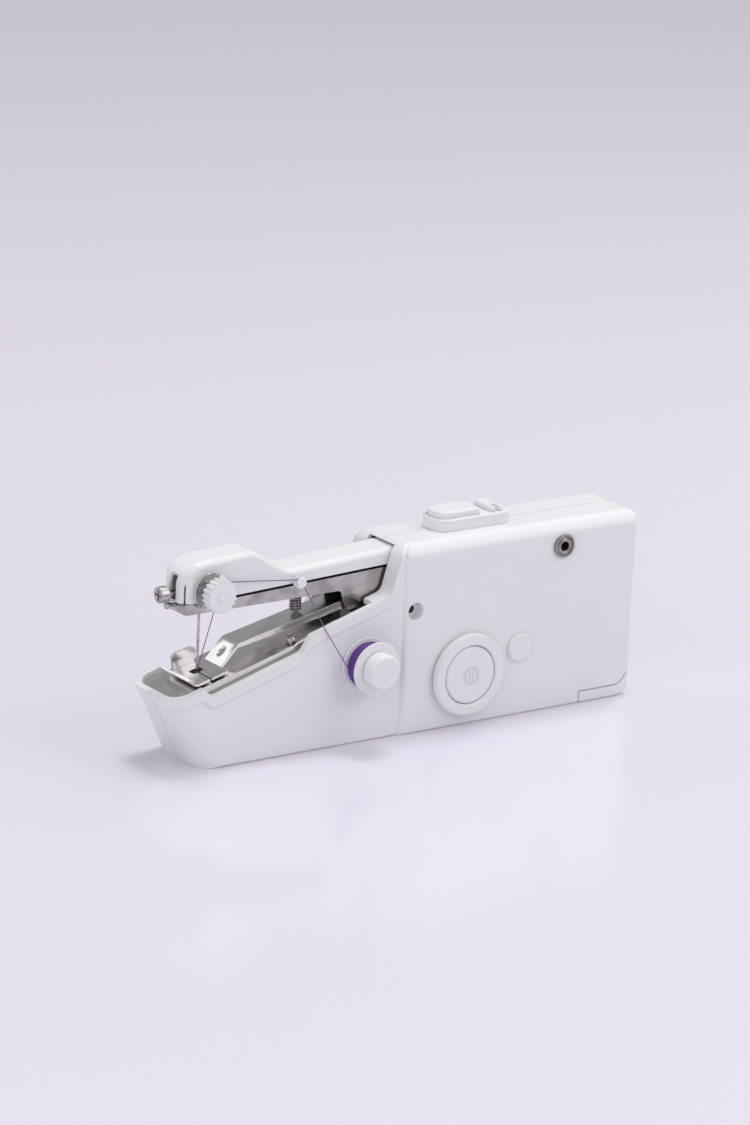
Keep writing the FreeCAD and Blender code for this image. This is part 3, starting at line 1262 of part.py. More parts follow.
# Thread
def thread_pieces():
    face = -s.cover_half
    groove_low = face - s.guide_stand - s.guide_flange
    groove_high = groove_low - s.guide_groove
    end = groove_high - s.guide_flange
    node(turned("thread_guide", "Y", (-s.guide_x, zero, s.guide_z), [
        (zero, face + guide_sunk), (s.guide_stem, face + guide_sunk), (s.guide_stem, face - s.guide_stand),
        (s.guide_rim, face - s.guide_stand), (s.guide_rim, groove_low), (s.guide_neck, groove_low),
        (s.guide_neck, groove_high), (s.guide_rim, groove_high), (s.guide_rim_end, end), (zero, end)]),
        "thread_guide")
    rear = -half_housing - s.face_gap
    front = -s.spool_front
    bore = s.spool_pin + s.run_gap
    node(turned("spool", "Y", (-s.spool_x, zero, s.spool_z), [
        (bore, rear), (s.spool_flange, rear), (s.spool_flange, rear - s.spool_sheet),
        (s.spool_core, rear - s.spool_sheet), (s.spool_core, front + s.spool_sheet),
        (s.spool_flange, front + s.spool_sheet), (s.spool_flange, front), (bore, front)]), "spool")
    winding_low = front + s.spool_sheet
    winding_high = rear - s.spool_sheet
    core = s.winding_radius - s.thread / 2 - s.seat_gap
    node(turned("thread_core", "Y", (-s.spool_x, zero, s.spool_z), [
        (s.spool_core + s.seat_gap, winding_low), (core, winding_low), (core, winding_high),
        (s.spool_core + s.seat_gap, winding_high)]), "thread_core")
    length = (winding_high - winding_low).value
    lead_in = (length - s.winding_turns.value * s.winding_pitch.value) / 2
    node(coil("thread_winding", Vector(-s.spool_x.value, winding_low.value, s.spool_z.value), Vector(0, 1, 0),
              s.winding_radius.value, s.thread.value, s.winding_turns.value, length, lead_in),
              "thread_winding")
    spindle_back = -inner_housing + s.cap_grip
    spindle_end = front - s.cap_grip
    node(rod("spool_spindle", s.spool_pin, "Y", (-s.spool_x, spindle_end, s.spool_z),
             spindle_back - spindle_end),
         "spool_spindle")
    cap_base = front - s.face_gap
    cap_end = cap_base - s.cap_length
    cap = rounded("cap_rounded", rod("cap_blank", s.cap_radius, "Y", (-s.spool_x, cap_end, s.spool_z),
                                     cap_base - cap_end), s.cap_round,
                  lambda edge: abs(edge.CenterOfMass.y - cap_end.value) < 0.001)
    cap_bore = rod("cap_bore", s.spool_pin + s.seat_gap, "Y",
                   (-s.spool_x, spindle_end - s.seat_gap, s.spool_z),
                   s.cap_length)
    node(cut("spool_cap", cap, cap_bore), "spool_cap")
    leave = (-s.spool_x - s.winding_radius - s.winding_play, (winding_low + winding_high) / 2 + s.leave_shift,
             s.spool_z - s.leave_drop)
    groove_y = (groove_low + groove_high) / 2
    around = s.guide_neck + s.thread / 2 + s.thread_play
    meet = (-s.guide_x + s.guide_meet_x, groove_y, s.guide_z - s.guide_meet_z)
    over_rim = (-s.rim_cross, -half_housing - s.rim_proud - s.thread, rim_z(-s.rim_cross) + s.thread / 4)
    node(thread_run("thread_spool_run", [leave, over_rim, meet], [s.rim_bend]), "thread_spool_run")
    pinch_y = face - s.tension_sheet - s.tension_pinch / 2
    over = (-s.guide_x + s.guide_over, groove_y, s.guide_z + around)
    enter = (-s.tension_x + s.enter_x, pinch_y, s.tension_z + s.enter_z)
    leave_disc = (-s.tension_x + s.exit_x, pinch_y, s.tension_z - s.exit_z)
    arm_edge = (-s.tension_x + s.edge_x, -s.arm_half - s.thread, s.arm_lower)
    eye = (-s.needle_x, -s.needle_blade - s.eye_play, s.needle_tip + s.needle_taper + s.needle_eye / 2)
    node(thread_run("thread_arm_run", [meet, over, enter, leave_disc, arm_edge, eye],
                    [s.guide_bend, s.enter_bend, s.exit_bend, s.edge_bend]), "thread_arm_run")


# Drive
def gear_shape(teeth, low, high, bore, phase):
    # Spur gear round the origin, with involute flanks thinned by the backlash, turned so that a tooth points
    # along the phase angle.
    pressure = math.radians(s.gear_pressure.value)
    module = s.gear_module.value
    pitch = module * teeth / 2
    base = pitch * math.cos(pressure)
    tip = pitch + module * s.gear_tip.value
    root = pitch - module * s.gear_root.value
    half = math.pi / (2 * teeth) - s.gear_backlash.value / (2 * pitch)

    def lean(radius):
        slant = math.acos(min(1, base / radius))
        return half + math.tan(pressure) - pressure - math.tan(slant) + slant

    flank = [max(base, root) + (tip - max(base, root)) * step / 4 for step in range(5)]
    profile = [(root, lean(flank[0]))] + [(radius, lean(radius)) for radius in flank]
    corners = []
    for tooth in range(int(teeth)):
        middle = phase + 2 * math.pi * tooth / teeth
        turn = [(radius, middle - angle) for radius, angle in profile]
        turn += [(radius, middle + angle) for radius, angle in reversed(profile)]
        corners += [Vector(radius * math.cos(angle), 0, radius * math.sin(angle)) for radius, angle in turn]
    face = Part.Face(Part.makePolygon(corners + corners[:1]))
    wheel = face.extrude(Vector(0, high - low, 0))
    wheel.translate(Vector(0, low, 0))
    return wheel.cut(Part.makeCylinder(bore, high - low, Vector(0, low, 0), Vector(0, 1, 0)))


def gear_pieces():
    mesh = math.radians(s.idler_angle.value)
    drive = math.radians(s.motor_angle.value)
    teeth = {name: getattr(s, name).value
             for name in ("crank_teeth", "idler_small_teeth", "idler_large_teeth", "pinion_teeth")}
    front = s.gear_front.value
    back = front + s.gear_width.value
    large_front = idler_large_front.value
    large_back = large_front + s.idler_width.value
    shaft_bore = (s.shaft_radius + s.seat_gap).value
    disc_front = back - s.wall.value / 2
    pin_at = Vector((rest_pin_x - s.crank_x).value, disc_front, (rest_pin_z - s.crank_z).value)
    pin_hole = Part.makeCylinder((s.crank_pin + s.seat_gap).value, s.wall.value, pin_at, Vector(0, 1, 0))
    crank = gear_shape(teeth["crank_teeth"], front, back, shaft_bore, mesh)
    disc = Part.makeCylinder((s.crank_throw + s.crank_pin + s.wall).value, s.wall.value / 2,
                             Vector(0, disc_front, 0), Vector(0, 1, 0))
    crank = crank.fuse(disc).cut(pin_hole)
    idler_bore = (s.idler_pin + s.run_gap).value
    small = gear_shape(teeth["idler_small_teeth"], front, large_front + s.gear_lap.value, idler_bore,
                       mesh + math.pi + math.pi / teeth["idler_small_teeth"])
    large = gear_shape(teeth["idler_large_teeth"], large_front, large_back, idler_bore, drive)
    spare = s.pinion_spare.value
    pinion = gear_shape(teeth["pinion_teeth"], large_front - spare, large_back + spare,
                        (s.motor_shaft + s.seat_gap).value, drive + math.pi + math.pi / teeth["pinion_teeth"])
    for label, shape, x, z in (("crank_gear", crank, s.crank_x, s.crank_z),
                               ("idler_gear", small.fuse(large), idler_x, idler_z),
                               ("motor_pinion", pinion, motor_x, motor_z)):
        item = solid_feature(label, shape.removeSplitter())
        place(item, (x, zero, z))
        node(item, label)
    pin_front = s.gear_front + s.gear_width - s.wall / 2
    node(rod("crank_pin", s.crank_pin, "Y", (rest_pin_x, pin_front, rest_pin_z),
             s.looper_y + s.looper_sheet - pin_front), "crank_pin")
    node(rod("idler_axle", s.idler_pin, "Y", (idler_x, -inner_block + s.seat_gap, idler_z),
             inner_block * 2 - s.seat_gap * 2), "idler_axle")
    can = rod("motor_can", s.motor_radius, "Y", (motor_x, s.motor_front, motor_z), s.motor_length)
    nose = rod("motor_nose", s.motor_nose, "Y", (motor_x, motor_back, motor_z), s.wall / 2)
    shaft = rod("motor_shaft_rod", s.motor_shaft, "Y", (motor_x, idler_large_front - s.wall / 2, motor_z),
                s.motor_length / 2)
    node(fuse("motor", can, nose, shaft), "motor")


def wheel_pieces():
    back = -half_block - s.face_gap
    web = back - s.wheel_web
    crest = -half_block - s.wheel_proud
    inner = s.wheel_radius - s.wheel_ring
    bore = s.shaft_radius + s.seat_gap
    soft = s.wheel_round
    node(turned("hand_wheel", "Y", (s.crank_x, zero, s.crank_z), [
        (bore, back), (s.wheel_radius - soft / 2, back), (s.wheel_radius, back - soft / 2),
        (s.wheel_radius, crest + soft), (s.wheel_radius - soft * 0.3, crest + soft * 0.3),
        (s.wheel_radius - soft, crest), (inner + soft / 2, crest), (inner, crest + soft / 2), (inner, web),
        (bore, web)]), "hand_wheel")
    cap_radius = inner - s.wheel_cap_gap
    cap_top = web - s.wheel_cap_height
    disc = turned("wheel_cap_disc", "Y", (s.crank_x, zero, s.crank_z), [
        (zero, web), (cap_radius, web), (cap_radius, cap_top + soft / 2), (cap_radius - soft / 2, cap_top),
        (zero, cap_top)])
    ring = turned("wheel_mark_ring", "Y", (s.crank_x, zero, s.crank_z), [
        (s.wheel_mark - s.wheel_mark_line, cap_top), (s.wheel_mark, cap_top),
        (s.wheel_mark, cap_top - s.wheel_mark_height),
        (s.wheel_mark - s.wheel_mark_line, cap_top - s.wheel_mark_height)])
    bar_reach = s.wheel_mark - s.wheel_mark_line
    bar = box("wheel_mark_bar", (s.crank_x - s.wheel_mark_line, s.crank_x + s.wheel_mark_line),
              (cap_top - s.wheel_mark_height, cap_top), (s.crank_z - bar_reach, s.crank_z + bar_reach))
    node(fuse("hand_wheel_cap", disc, ring, bar), "hand_wheel_cap")
    node(rod("crank_shaft", s.shaft_radius, "Y", (s.crank_x, web + s.seat_gap, s.crank_z),
             s.gear_front + s.gear_width - s.wall / 2 - s.seat_gap * 2 - web), "crank_shaft")
    tube_blank = rod("bush_tube", bush_radius, "Y", (s.crank_x, -half_block, s.crank_z),
                     bush_back + half_block)
    tube_bore = rod("bush_hole", s.shaft_radius + s.run_gap, "Y", (s.crank_x, -s.block_depth, s.crank_z),
                    s.block_depth * 2)
    node(cut("shaft_bush", tube_blank, tube_bore), "shaft_bush")
    dome = -half_block - s.plug_proud
    node(turned("axle_plug", "Y", (idler_x, zero, idler_z), [
        (zero, -inner_block - s.seat_gap), (s.plug_stub, -inner_block - s.seat_gap),
        (s.plug_stub, -half_block),
        (s.plug_radius, -half_block), (s.plug_radius, dome + s.plug_round),
        (s.plug_radius - s.plug_round_mid, dome + s.plug_round_mid),
        (s.plug_radius - s.plug_round, dome), (zero, dome)]), "axle_plug")


def looper_pieces():
    yoke_half = s.crank_pin + s.looper_play
    tall = s.crank_throw * 2 + s.crank_pin + s.wall
    low_y = s.looper_y - s.looper_sheet / 2
    high_y = s.looper_y + s.looper_sheet / 2
    plate = box("looper_yoke", (rest_pin_x - yoke_half - s.wall, rest_pin_x + yoke_half + s.wall),
                (low_y, high_y),
                (s.looper_z - s.looper_radius, rest_pin_z + tall + s.wall))
    slot = box("looper_slot", (rest_pin_x - yoke_half, rest_pin_x + yoke_half),
               (low_y - s.wall, high_y + s.wall),
               (s.looper_z + s.yoke_lap, rest_pin_z + tall))
    bar = rod("looper_bar", s.looper_radius, "X", (-s.looper_reach, s.looper_y, s.looper_z),
              s.looper_reach + rest_pin_x - yoke_half - s.wall / 2)
    node(fuse("looper_rod", cut("looper_fork", plate, slot), bar), "looper_rod")
    start = -s.looper_reach + s.hook_sheet
    collar = rod("hook_collar", s.hook_collar, "X", (start, s.looper_y, s.looper_z), s.hook_width)
    blade = prism("hook_blade", "XZ", [
        (start, s.looper_z), (start + s.hook_width, s.looper_z),
        (start + s.hook_width, s.hook_top - s.hook_width),
        (start + s.hook_reach, s.hook_top - s.hook_tip),
        (start + s.hook_tip, s.hook_top)],
        s.looper_y - s.hook_sheet / 2, s.looper_y + s.hook_sheet / 2)
    bore = rod("hook_bore", s.looper_radius + s.seat_gap, "X",
               (-s.looper_reach - s.wall, s.looper_y, s.looper_z),
               s.looper_reach)
    node(cut("looper_hook", fuse("hook_blank", collar, blade), bore), "looper_hook")


# Switch and socket
def switch_pieces():
    low = s.block_height
    high = low + s.switch_height
    floor = low + s.switch_floor
    gap = s.face_gap
    island = plan_block("switch_island", (s.switch_start, s.switch_end), s.switch_half, s.switch_corner,
                        s.switch_corner, low, high)
    island = top_edged("switch_island_edged", island, s.switch_edge, high)
    button_well = plan_block("button_well", (s.button_start - gap, s.button_end + gap), s.button_half + gap,
                             s.button_nose + gap, s.button_heel + gap, floor, high + s.wall)
    tongue_end = s.lock_end - s.tongue_inset
    tongue_start = tongue_end - s.tongue_length
    lock_slot = box("lock_slot", (tongue_start - s.lock_travel - gap, tongue_end + gap),
                    (-s.tongue_half - gap, s.tongue_half + gap), (floor, high + s.wall))
    hole = rod("switch_stem_hole", s.button_stem + gap, "Z", (button_x, zero, low - s.wall), s.wall * 3)
    node(cut("switch_base", island, button_well, lock_slot, hole), "switch_base")
    button_low = floor + s.button_travel + gap
    block = plan_block("button_block", (s.button_start, s.button_end), s.button_half, s.button_nose,
                       s.button_heel,
                       button_low, button_top)
    block = top_edged("button_edged", block, s.button_round, button_top)
    hollow = rod("button_hollow", s.button_spring_radius + s.button_wire, "Z", (button_x, zero, floor),
                 button_roof - floor)
    stem = rod("button_stem_rod", s.button_stem, "Z", (button_x, zero, stem_low),
               button_top - s.button_roof / 2 - stem_low)
    node(fuse("power_button", cut("button_cup", block, hollow), stem), "power_button")
    node(coil("button_spring", Vector(button_x.value, 0, floor.value), Vector(0, 0, 1),
              s.button_spring_radius.value,
              s.button_wire.value, s.button_turns.value, (button_roof - floor).value,
              s.button_wire.value * 2),
         "button_spring")
    lock_top = high + s.lock_proud
    cap = plan_block("lock_cap", (s.lock_start, s.lock_end), s.lock_half, s.lock_corner, s.lock_corner,
                     high + s.run_gap, lock_top)
    cap = top_edged("lock_edged", cap, s.lock_edge, lock_top)
    notch_start = s.lock_start + s.lock_notch_inset
    notch = box("lock_notch", (notch_start, notch_start + s.lock_notch_width),
                (-s.lock_half - s.wall, -s.lock_half + s.lock_notch_length), (high, lock_top + s.wall))
    tongue = box("lock_tongue", (tongue_start, tongue_end), (-s.tongue_half, s.tongue_half),
                 (floor + s.run_gap, high + s.lock_proud / 2))
    node(fuse("lock_slider", cut("lock_cut", cap, notch), tongue), "lock_slider")
    body = box("module_body", module_x, (-s.module_half, s.module_half), (module_low, module_high))
    plunger = rod("module_plunger", s.button_stem, "Z", (button_x, zero, module_high - s.plunger_proud),
                  s.plunger_proud * 2)
    node(fuse("switch_module", body, plunger), "switch_module")


def jack_pieces():
    x, z = jack_x, jack_z
    mouth = -half_block - s.jack_proud + s.jack_sunk
    neck = rod("jack_neck_rod", s.jack_neck, "Y", (x, mouth, z), -inner_block - mouth + s.wall / 2)
    half = s.jack_body / 2
    body = box("jack_body_box", (x - half, x + half), (-inner_block, mouth + s.jack_bore_length + s.wall),
               (z - half, z + half))
    bore = rod("jack_bore_rod", s.jack_bore, "Y", (x, mouth - s.wall, z), s.jack_bore_length + s.wall)
    node(cut("power_jack", fuse("jack_blank", neck, body), bore), "power_jack")
    ring = rod("jack_nut_disc", s.jack_nut, "Y", (x, -half_block - s.jack_proud, z), s.jack_proud)
    hole = rod("jack_nut_hole", s.jack_neck + s.seat_gap, "Y", (x, -s.block_depth, z), s.block_depth)
    node(cut("jack_nut", ring, hole), "jack_nut")


# Batteries
def battery_pieces():
    rear_x = rear_inside - s.cell_radius - s.cell_play
    front_x = rear_x - s.cell_radius * 2 - s.cell_play
    side = s.cell_radius + s.cell_play / 2
    number = 0
    for x in (front_x, rear_x):
        for y in (-side, side):
            number += 1
            label = f"battery_cell_{number}"
            up = number in (1, 4)
            can_low = s.cell_floor if up else s.cell_floor + s.cell_nub_height
            can = rod(label + "_can", s.cell_radius, "Z", (x, y, can_low), s.cell_length)
            nub_low = s.cell_floor + s.cell_length if up else s.cell_floor
            nub = rod(label + "_nub", s.cell_nub, "Z", (x, y, nub_low), s.cell_nub_height)
            node(fuse(label, can, nub), label)
    upper = []
    for index, (x, y) in enumerate((x, y) for x in (front_x, rear_x) for y in (-side, side)):
        upper.append(box(f"upper_contact{index}", (x - s.contact_half, x + s.contact_half),
                         (y - s.contact_half, y + s.contact_half), (cell_roof - s.contact_sheet, cell_roof)))
    node(group("battery_contacts", *upper), "battery_contacts")
    top = s.cell_floor - s.cell_play
    lower = []
    for index, x in enumerate((front_x, rear_x)):
        lower.append(box(f"lower_contact{index}", (x - s.contact_half, x + s.contact_half),
                         (-side - s.contact_half, side + s.contact_half), (top - s.contact_sheet, top)))
    node(group("cover_contacts", *lower), "cover_contacts")


button_x = (s.button_start + s.button_end) / 2
button_top = s.block_height + s.switch_height + s.button_proud
button_roof = button_top - s.button_roof
module_x = (button_x - s.module_length / 2, button_x + s.module_length / 2)
module_high = roof - s.module_drop
module_low = module_high - s.module_height
stem_low = module_high + s.plunger_proud + s.button_travel + s.face_gap
bush_radius = s.shaft_radius + s.bush_wall
bush_back = -half_block + s.bush_length
pivot_front = -inner_block + s.pivot_wall
hub_half = s.arm_half - s.arm_sheet - s.seat_gap
cell_roof = s.cell_floor + s.cell_length + s.cell_nub_height + s.contact_sheet
motor_back = s.motor_front + s.motor_length
guide_sunk = s.cover_half - s.arm_half - s.run_gap
bed_rib_half = s.bed_half - s.bed_sheet - s.face_gap - s.bed_screw_y
presser_pin_z = presser_z(-s.presser_pin_x) - s.presser_pin_drop
bracket_x = (-s.presser_pin_x - s.presser_pin - s.presser_lug,
             -s.presser_pin_x + s.presser_pin + s.presser_lug)
bracket_low = presser_pin_z - s.presser_pin - s.wall * 2
lever_reach = Vector((s.crank_x - s.pivot_x).value, 0, (s.crank_z - s.pivot_z).value)
lever_side = (-lever_reach.z / lever_reach.Length, lever_reach.x / lever_reach.Length)
rest_pin_x = s.crank_x - s.crank_throw * lever_side[0]
rest_pin_z = s.crank_z - s.crank_throw * lever_side[1]
outside_limit = box("outside_limit", (-s.nose_reach - s.wall, s.block_length + s.wall),
                    (-half_block, half_block),
                    (zero, s.block_height))

case_halves()
case_screws()
bed_pieces()
presser_pieces()
arm_pieces()
drive_lever()
needle_pieces()
tension_pieces()
thread_pieces()
gear_pieces()
wheel_pieces()
looper_pieces()
switch_pieces()
jack_pieces()
battery_pieces()

doc.recompute()
failed = [item.Name for item in doc.Objects if "Invalid" in item.State or "Error" in item.State]
broken = [item.Label for item in nodes if item.Shape.isNull() or not item.Shape.isValid()]
if failed or broken:
    raise RuntimeError(f"features that failed: {failed}, shapes that are not valid: {broken}")
os.makedirs("parts", exist_ok=True)
for item in nodes:
    item.Shape.exportStep(f"parts/{item.Label}.step")
print(f"{len(nodes)} sub-parts written")
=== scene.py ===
import json
import math
import bpy
from mathutils import Matrix, Vector


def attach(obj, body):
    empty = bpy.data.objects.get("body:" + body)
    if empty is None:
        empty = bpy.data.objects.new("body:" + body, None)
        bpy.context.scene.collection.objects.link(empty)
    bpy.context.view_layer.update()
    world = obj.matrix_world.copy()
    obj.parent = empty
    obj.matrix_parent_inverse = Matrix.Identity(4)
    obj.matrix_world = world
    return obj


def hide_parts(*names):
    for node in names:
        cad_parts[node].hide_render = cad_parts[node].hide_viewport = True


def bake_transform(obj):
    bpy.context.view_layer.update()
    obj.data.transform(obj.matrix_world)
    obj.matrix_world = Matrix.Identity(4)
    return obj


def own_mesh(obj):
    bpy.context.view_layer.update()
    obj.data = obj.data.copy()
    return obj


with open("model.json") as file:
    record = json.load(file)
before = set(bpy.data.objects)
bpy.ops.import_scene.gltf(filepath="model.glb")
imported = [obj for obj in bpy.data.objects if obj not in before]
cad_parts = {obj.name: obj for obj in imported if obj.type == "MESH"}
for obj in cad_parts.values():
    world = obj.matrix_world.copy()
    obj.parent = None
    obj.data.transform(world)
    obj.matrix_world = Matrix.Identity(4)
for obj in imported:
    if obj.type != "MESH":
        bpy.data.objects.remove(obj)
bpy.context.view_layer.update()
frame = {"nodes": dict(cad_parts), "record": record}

cadNodes = frame["nodes"]
slotOf = {row["node"]: row["material_slot"] for row in frame["record"]["subparts"]}
bodyOf = {node: body for body, nodes in frame["record"]["behaviour"]["bodies"].items()
          for node in nodes}
mm = 0.001
quarterTurn = math.radians(90)
print("frame loaded:", len(cadNodes), "nodes")

# camera, at the photograph's place
view = {
    "at": (-1106.277, -1523.322, 639.378),   # mm
    "azimuth": -35.923, "elevation": 16.997, "roll": 2.796,   # degrees
    "lens": 167.315, "sensor": 36.0,   # mm
    "near": 0.05, "far": 20,   # m
}


def placeCamera():
    azimuth, elevation, roll = (math.radians(view[key])
                                for key in ("azimuth", "elevation", "roll"))
    back = Vector((math.sin(azimuth) * math.cos(elevation),
                   -math.cos(azimuth) * math.cos(elevation), math.sin(elevation)))
    right = Vector((math.cos(azimuth), math.sin(azimuth), 0))
    up = back.cross(right)
    turnedRight = right * math.cos(roll) + up * math.sin(roll)
    turnedUp = up * math.cos(roll) - right * math.sin(roll)
    camera = bpy.data.cameras.new("photoCamera")
    camera.lens = view["lens"]
    camera.sensor_width = view["sensor"]
    camera.clip_start, camera.clip_end = view["near"], view["far"]
    holder = bpy.data.objects.new("photoCamera", camera)
    bpy.context.scene.collection.objects.link(holder)
    axes = Matrix((turnedRight, turnedUp, back)).transposed().to_4x4()
    axes.translation = Vector(view["at"]) * mm
    holder.matrix_world = axes
    bpy.context.scene.camera = holder


placeCamera()
print("camera placed")

# handling of pieces
mergeWithin = {"piece": 0.000001, "skin": 0.000002}   # m, nearer points become one
smoothBelow = {"wire": 60, "core": 40, "strip": 30, "collar": 50}   # degrees between faces
facesAlong = 0.9   # a face looks along an axis when its normal has this much of it


def inMetres(place):
    return tuple(value * mm for value in place)


def selectNone():
    bpy.ops.object.select_all(action="DESELECT")


def selectOnly(piece):
    selectNone()
    piece.select_set(True)
    bpy.context.view_layer.objects.active = piece


def toEdit():
    bpy.ops.object.mode_set(mode="EDIT")


def toObject():
    bpy.ops.object.mode_set(mode="OBJECT")


def selectFaces(piece, wanted):
    # leaves the piece in edit mode, with the wanted faces selected
    toEdit()
    bpy.ops.mesh.select_mode(type="FACE")
    bpy.ops.mesh.select_all(action="DESELECT")
    toObject()
    for face in piece.data.polygons:
        face.select = wanted(face)
    toEdit()


def nameActive(name):
    piece = bpy.context.object
    piece.name = name
    piece.data.name = name
    return piece


def applyPlace(piece):
    selectOnly(piece)
    bpy.ops.object.transform_apply(location=True, rotation=True, scale=True)


def applyModifiers(piece):
    selectOnly(piece)
    for modifier in list(piece.modifiers):
        bpy.ops.object.modifier_apply(modifier=modifier.name)


def mergeInto(target, *others):
    selectOnly(target)
    for piece in others:
        piece.select_set(True)
    bpy.ops.object.join()
    return target


def evenNormals(piece, angle):
    selectOnly(piece)
    toEdit()
    bpy.ops.mesh.select_all(action="SELECT")
    bpy.ops.mesh.remove_doubles(threshold=mergeWithin["piece"])
    bpy.ops.mesh.normals_make_consistent(inside=False)
    toObject()
    bpy.ops.object.shade_smooth_by_angle(angle=math.radians(angle))


# sewing thread: both runs follow the solids' own points, in mm
sewingThread = {
    "width": 0.38,
    "alongSteps": 12, "roundSteps": 3,
    "spoolRoute": [(-26.12, -19.7, 30.8), (-34.65, -16.98, 45.18), (-36.0, -16.55, 47.465),
                   (-36.85, -15.53, 49.84), (-41.8, -9.6, 63.7)],
    "armRoute": [(-41.8, -9.6, 63.7), (-42.4, -9.6, 65.885), (-44.6, -9.53, 66.11),
                 (-76.3, -8.44, 69.33), (-79.0, -8.35, 69.6), (-79.42, -8.35, 66.93),
                 (-80.4, -8.35, 60.7), (-79.9, -7.45, 58.0), (-80.09, -6.69, 55.42),
                 (-81.5, -0.77, 35.3)],
}


def threadLine(name, route):
    curve = bpy.data.curves.new(name, "CURVE")
    curve.dimensions = "3D"
    curve.resolution_u = sewingThread["alongSteps"]
    line = curve.splines.new("NURBS")
    line.points.add(len(route) - 1)
    for point, place in zip(line.points, route):
        point.co = (*inMetres(place), 1)
    line.order_u = 3   # set after the points, or the runs stay straight
    line.use_endpoint_u = True
    holder = bpy.data.objects.new(name, curve)
    bpy.context.scene.collection.objects.link(holder)
    return holder


def threadRun(name, route):
    line = threadLine(name + "Line", route)
    bare = bpy.data.meshes.new_from_object(line)
    bpy.data.meshes.remove(bare)
    line.data.bevel_depth = sewingThread["width"] / 2 * mm
    line.data.bevel_resolution = sewingThread["roundSteps"]
    line.data.use_fill_caps = True
    selectOnly(line)
    bpy.ops.object.convert(target="MESH")
    piece = nameActive(name)
    evenNormals(piece, smoothBelow["wire"])
    return piece


# the spool's run bends from the case's rim on, the arm's run below the tension discs
spoolRoute, armRoute = sewingThread["spoolRoute"], sewingThread["armRoute"]
threadSpoolRun = threadRun("threadSpoolRun", spoolRoute)
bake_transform(threadSpoolRun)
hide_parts("thread_spool_run")
threadArmRun = threadRun("threadArmRun", armRoute)
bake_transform(threadArmRun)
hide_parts("thread_arm_run")
print("thread strung")

# wound pieces
wireSides = 8
coilTurn = {"Y": (-quarterTurn, 0, 0), "Z": (0, 0, 0)}   # from Z to the coil's own axis


def coil(name, axis, at, radius, wire, turns, length, steps):
    # one wire section, wound by a screw along its axis
    selectNone()
    bpy.ops.mesh.primitive_circle_add(vertices=wireSides, radius=wire / 2 * mm,
                                      fill_type="NOTHING")
    piece = nameActive(name)
    toEdit()
    bpy.ops.mesh.select_all(action="SELECT")
    bpy.ops.transform.rotate(value=quarterTurn, orient_axis="X", center_override=(0, 0, 0))
    bpy.ops.transform.translate(value=(radius * mm, 0, 0))
    toObject()
    turn = piece.modifiers.new("turns", "SCREW")
    turn.axis = "Z"
    turn.angle = 2 * math.pi * turns
    turn.screw_offset = length * mm
    turn.steps = turn.render_steps = int(steps * turns)
    turn.use_normal_calculate = True
    applyModifiers(piece)
    toEdit()
    bpy.ops.mesh.select_all(action="SELECT")
    bpy.ops.mesh.fill_holes(sides=wireSides)
    toObject()
    piece.rotation_euler = coilTurn[axis]
    piece.location = inMetres(at)
    applyPlace(piece)
    evenNormals(piece, smoothBelow["wire"])
    return piece


winding = {   # mm
    "axis": (-16.6, 31.3), "from": -23.28, "to": -16.92,
    "radius": 8.2, "turns": 5, "wire": 1.3,
    "crossRadius": 8.66, "crossTurns": 1.3, "crossWire": 0.46,
    "crossFrom": -22.2, "crossTo": -18.2,
    "coreRadius": 8.2, "bore": 4.1,
    "turnSteps": 48, "ringSteps": 72, "ringSides": 10,
}


def windingCore():
    x, z = winding["axis"]
    low, high = winding["from"], winding["to"]
    selectNone()
    bpy.ops.mesh.primitive_cylinder_add(vertices=winding["ringSteps"],
                                        radius=winding["coreRadius"] * mm, depth=(high - low) * mm,
                                        location=inMetres((x, (low + high) / 2, z)),
                                        rotation=(quarterTurn, 0, 0), end_fill_type="NGON")
    core = nameActive("threadCore")
    applyPlace(core)
    selectFaces(core, lambda face: abs(face.normal.y) > facesAlong)
    bpy.ops.mesh.inset(thickness=(winding["coreRadius"] - winding["bore"]) * mm)
    bpy.ops.mesh.bridge_edge_loops()
    toObject()
    evenNormals(core, smoothBelow["core"])
    return core


def endTurn(y):
    # the first and last turns lie flat against the flanges
    x, z = winding["axis"]
    selectNone()
    bpy.ops.mesh.primitive_torus_add(major_radius=winding["radius"] * mm,
                                     minor_radius=winding["wire"] / 2 * mm,
                                     major_segments=winding["ringSteps"],
                                     minor_segments=winding["ringSides"],
                                     location=inMetres((x, y, z)), rotation=(quarterTurn, 0, 0))
    ring = nameActive("threadEnd")
    applyPlace(ring)
    evenNormals(ring, smoothBelow["wire"])
    return ring


def windThread():
    x, z = winding["axis"]
    low, high = winding["from"], winding["to"]
    half = winding["wire"] / 2
    turns = coil("threadWinding", "Y", (x, low + half, z), winding["radius"], winding["wire"],
                 winding["turns"], high - low - winding["wire"], winding["turnSteps"])
    cross = coil("threadCross", "Y", (x, winding["crossFrom"], z), winding["crossRadius"],
                 winding["crossWire"], winding["crossTurns"],
                 winding["crossTo"] - winding["crossFrom"], winding["turnSteps"])
    ends = [endTurn(low + half), endTurn(high - half)]
    return mergeInto(turns, cross, windingCore(), *ends)


threadWinding = windThread()
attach(threadWinding, "thread_spool")
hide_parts("thread_core", "thread_winding")

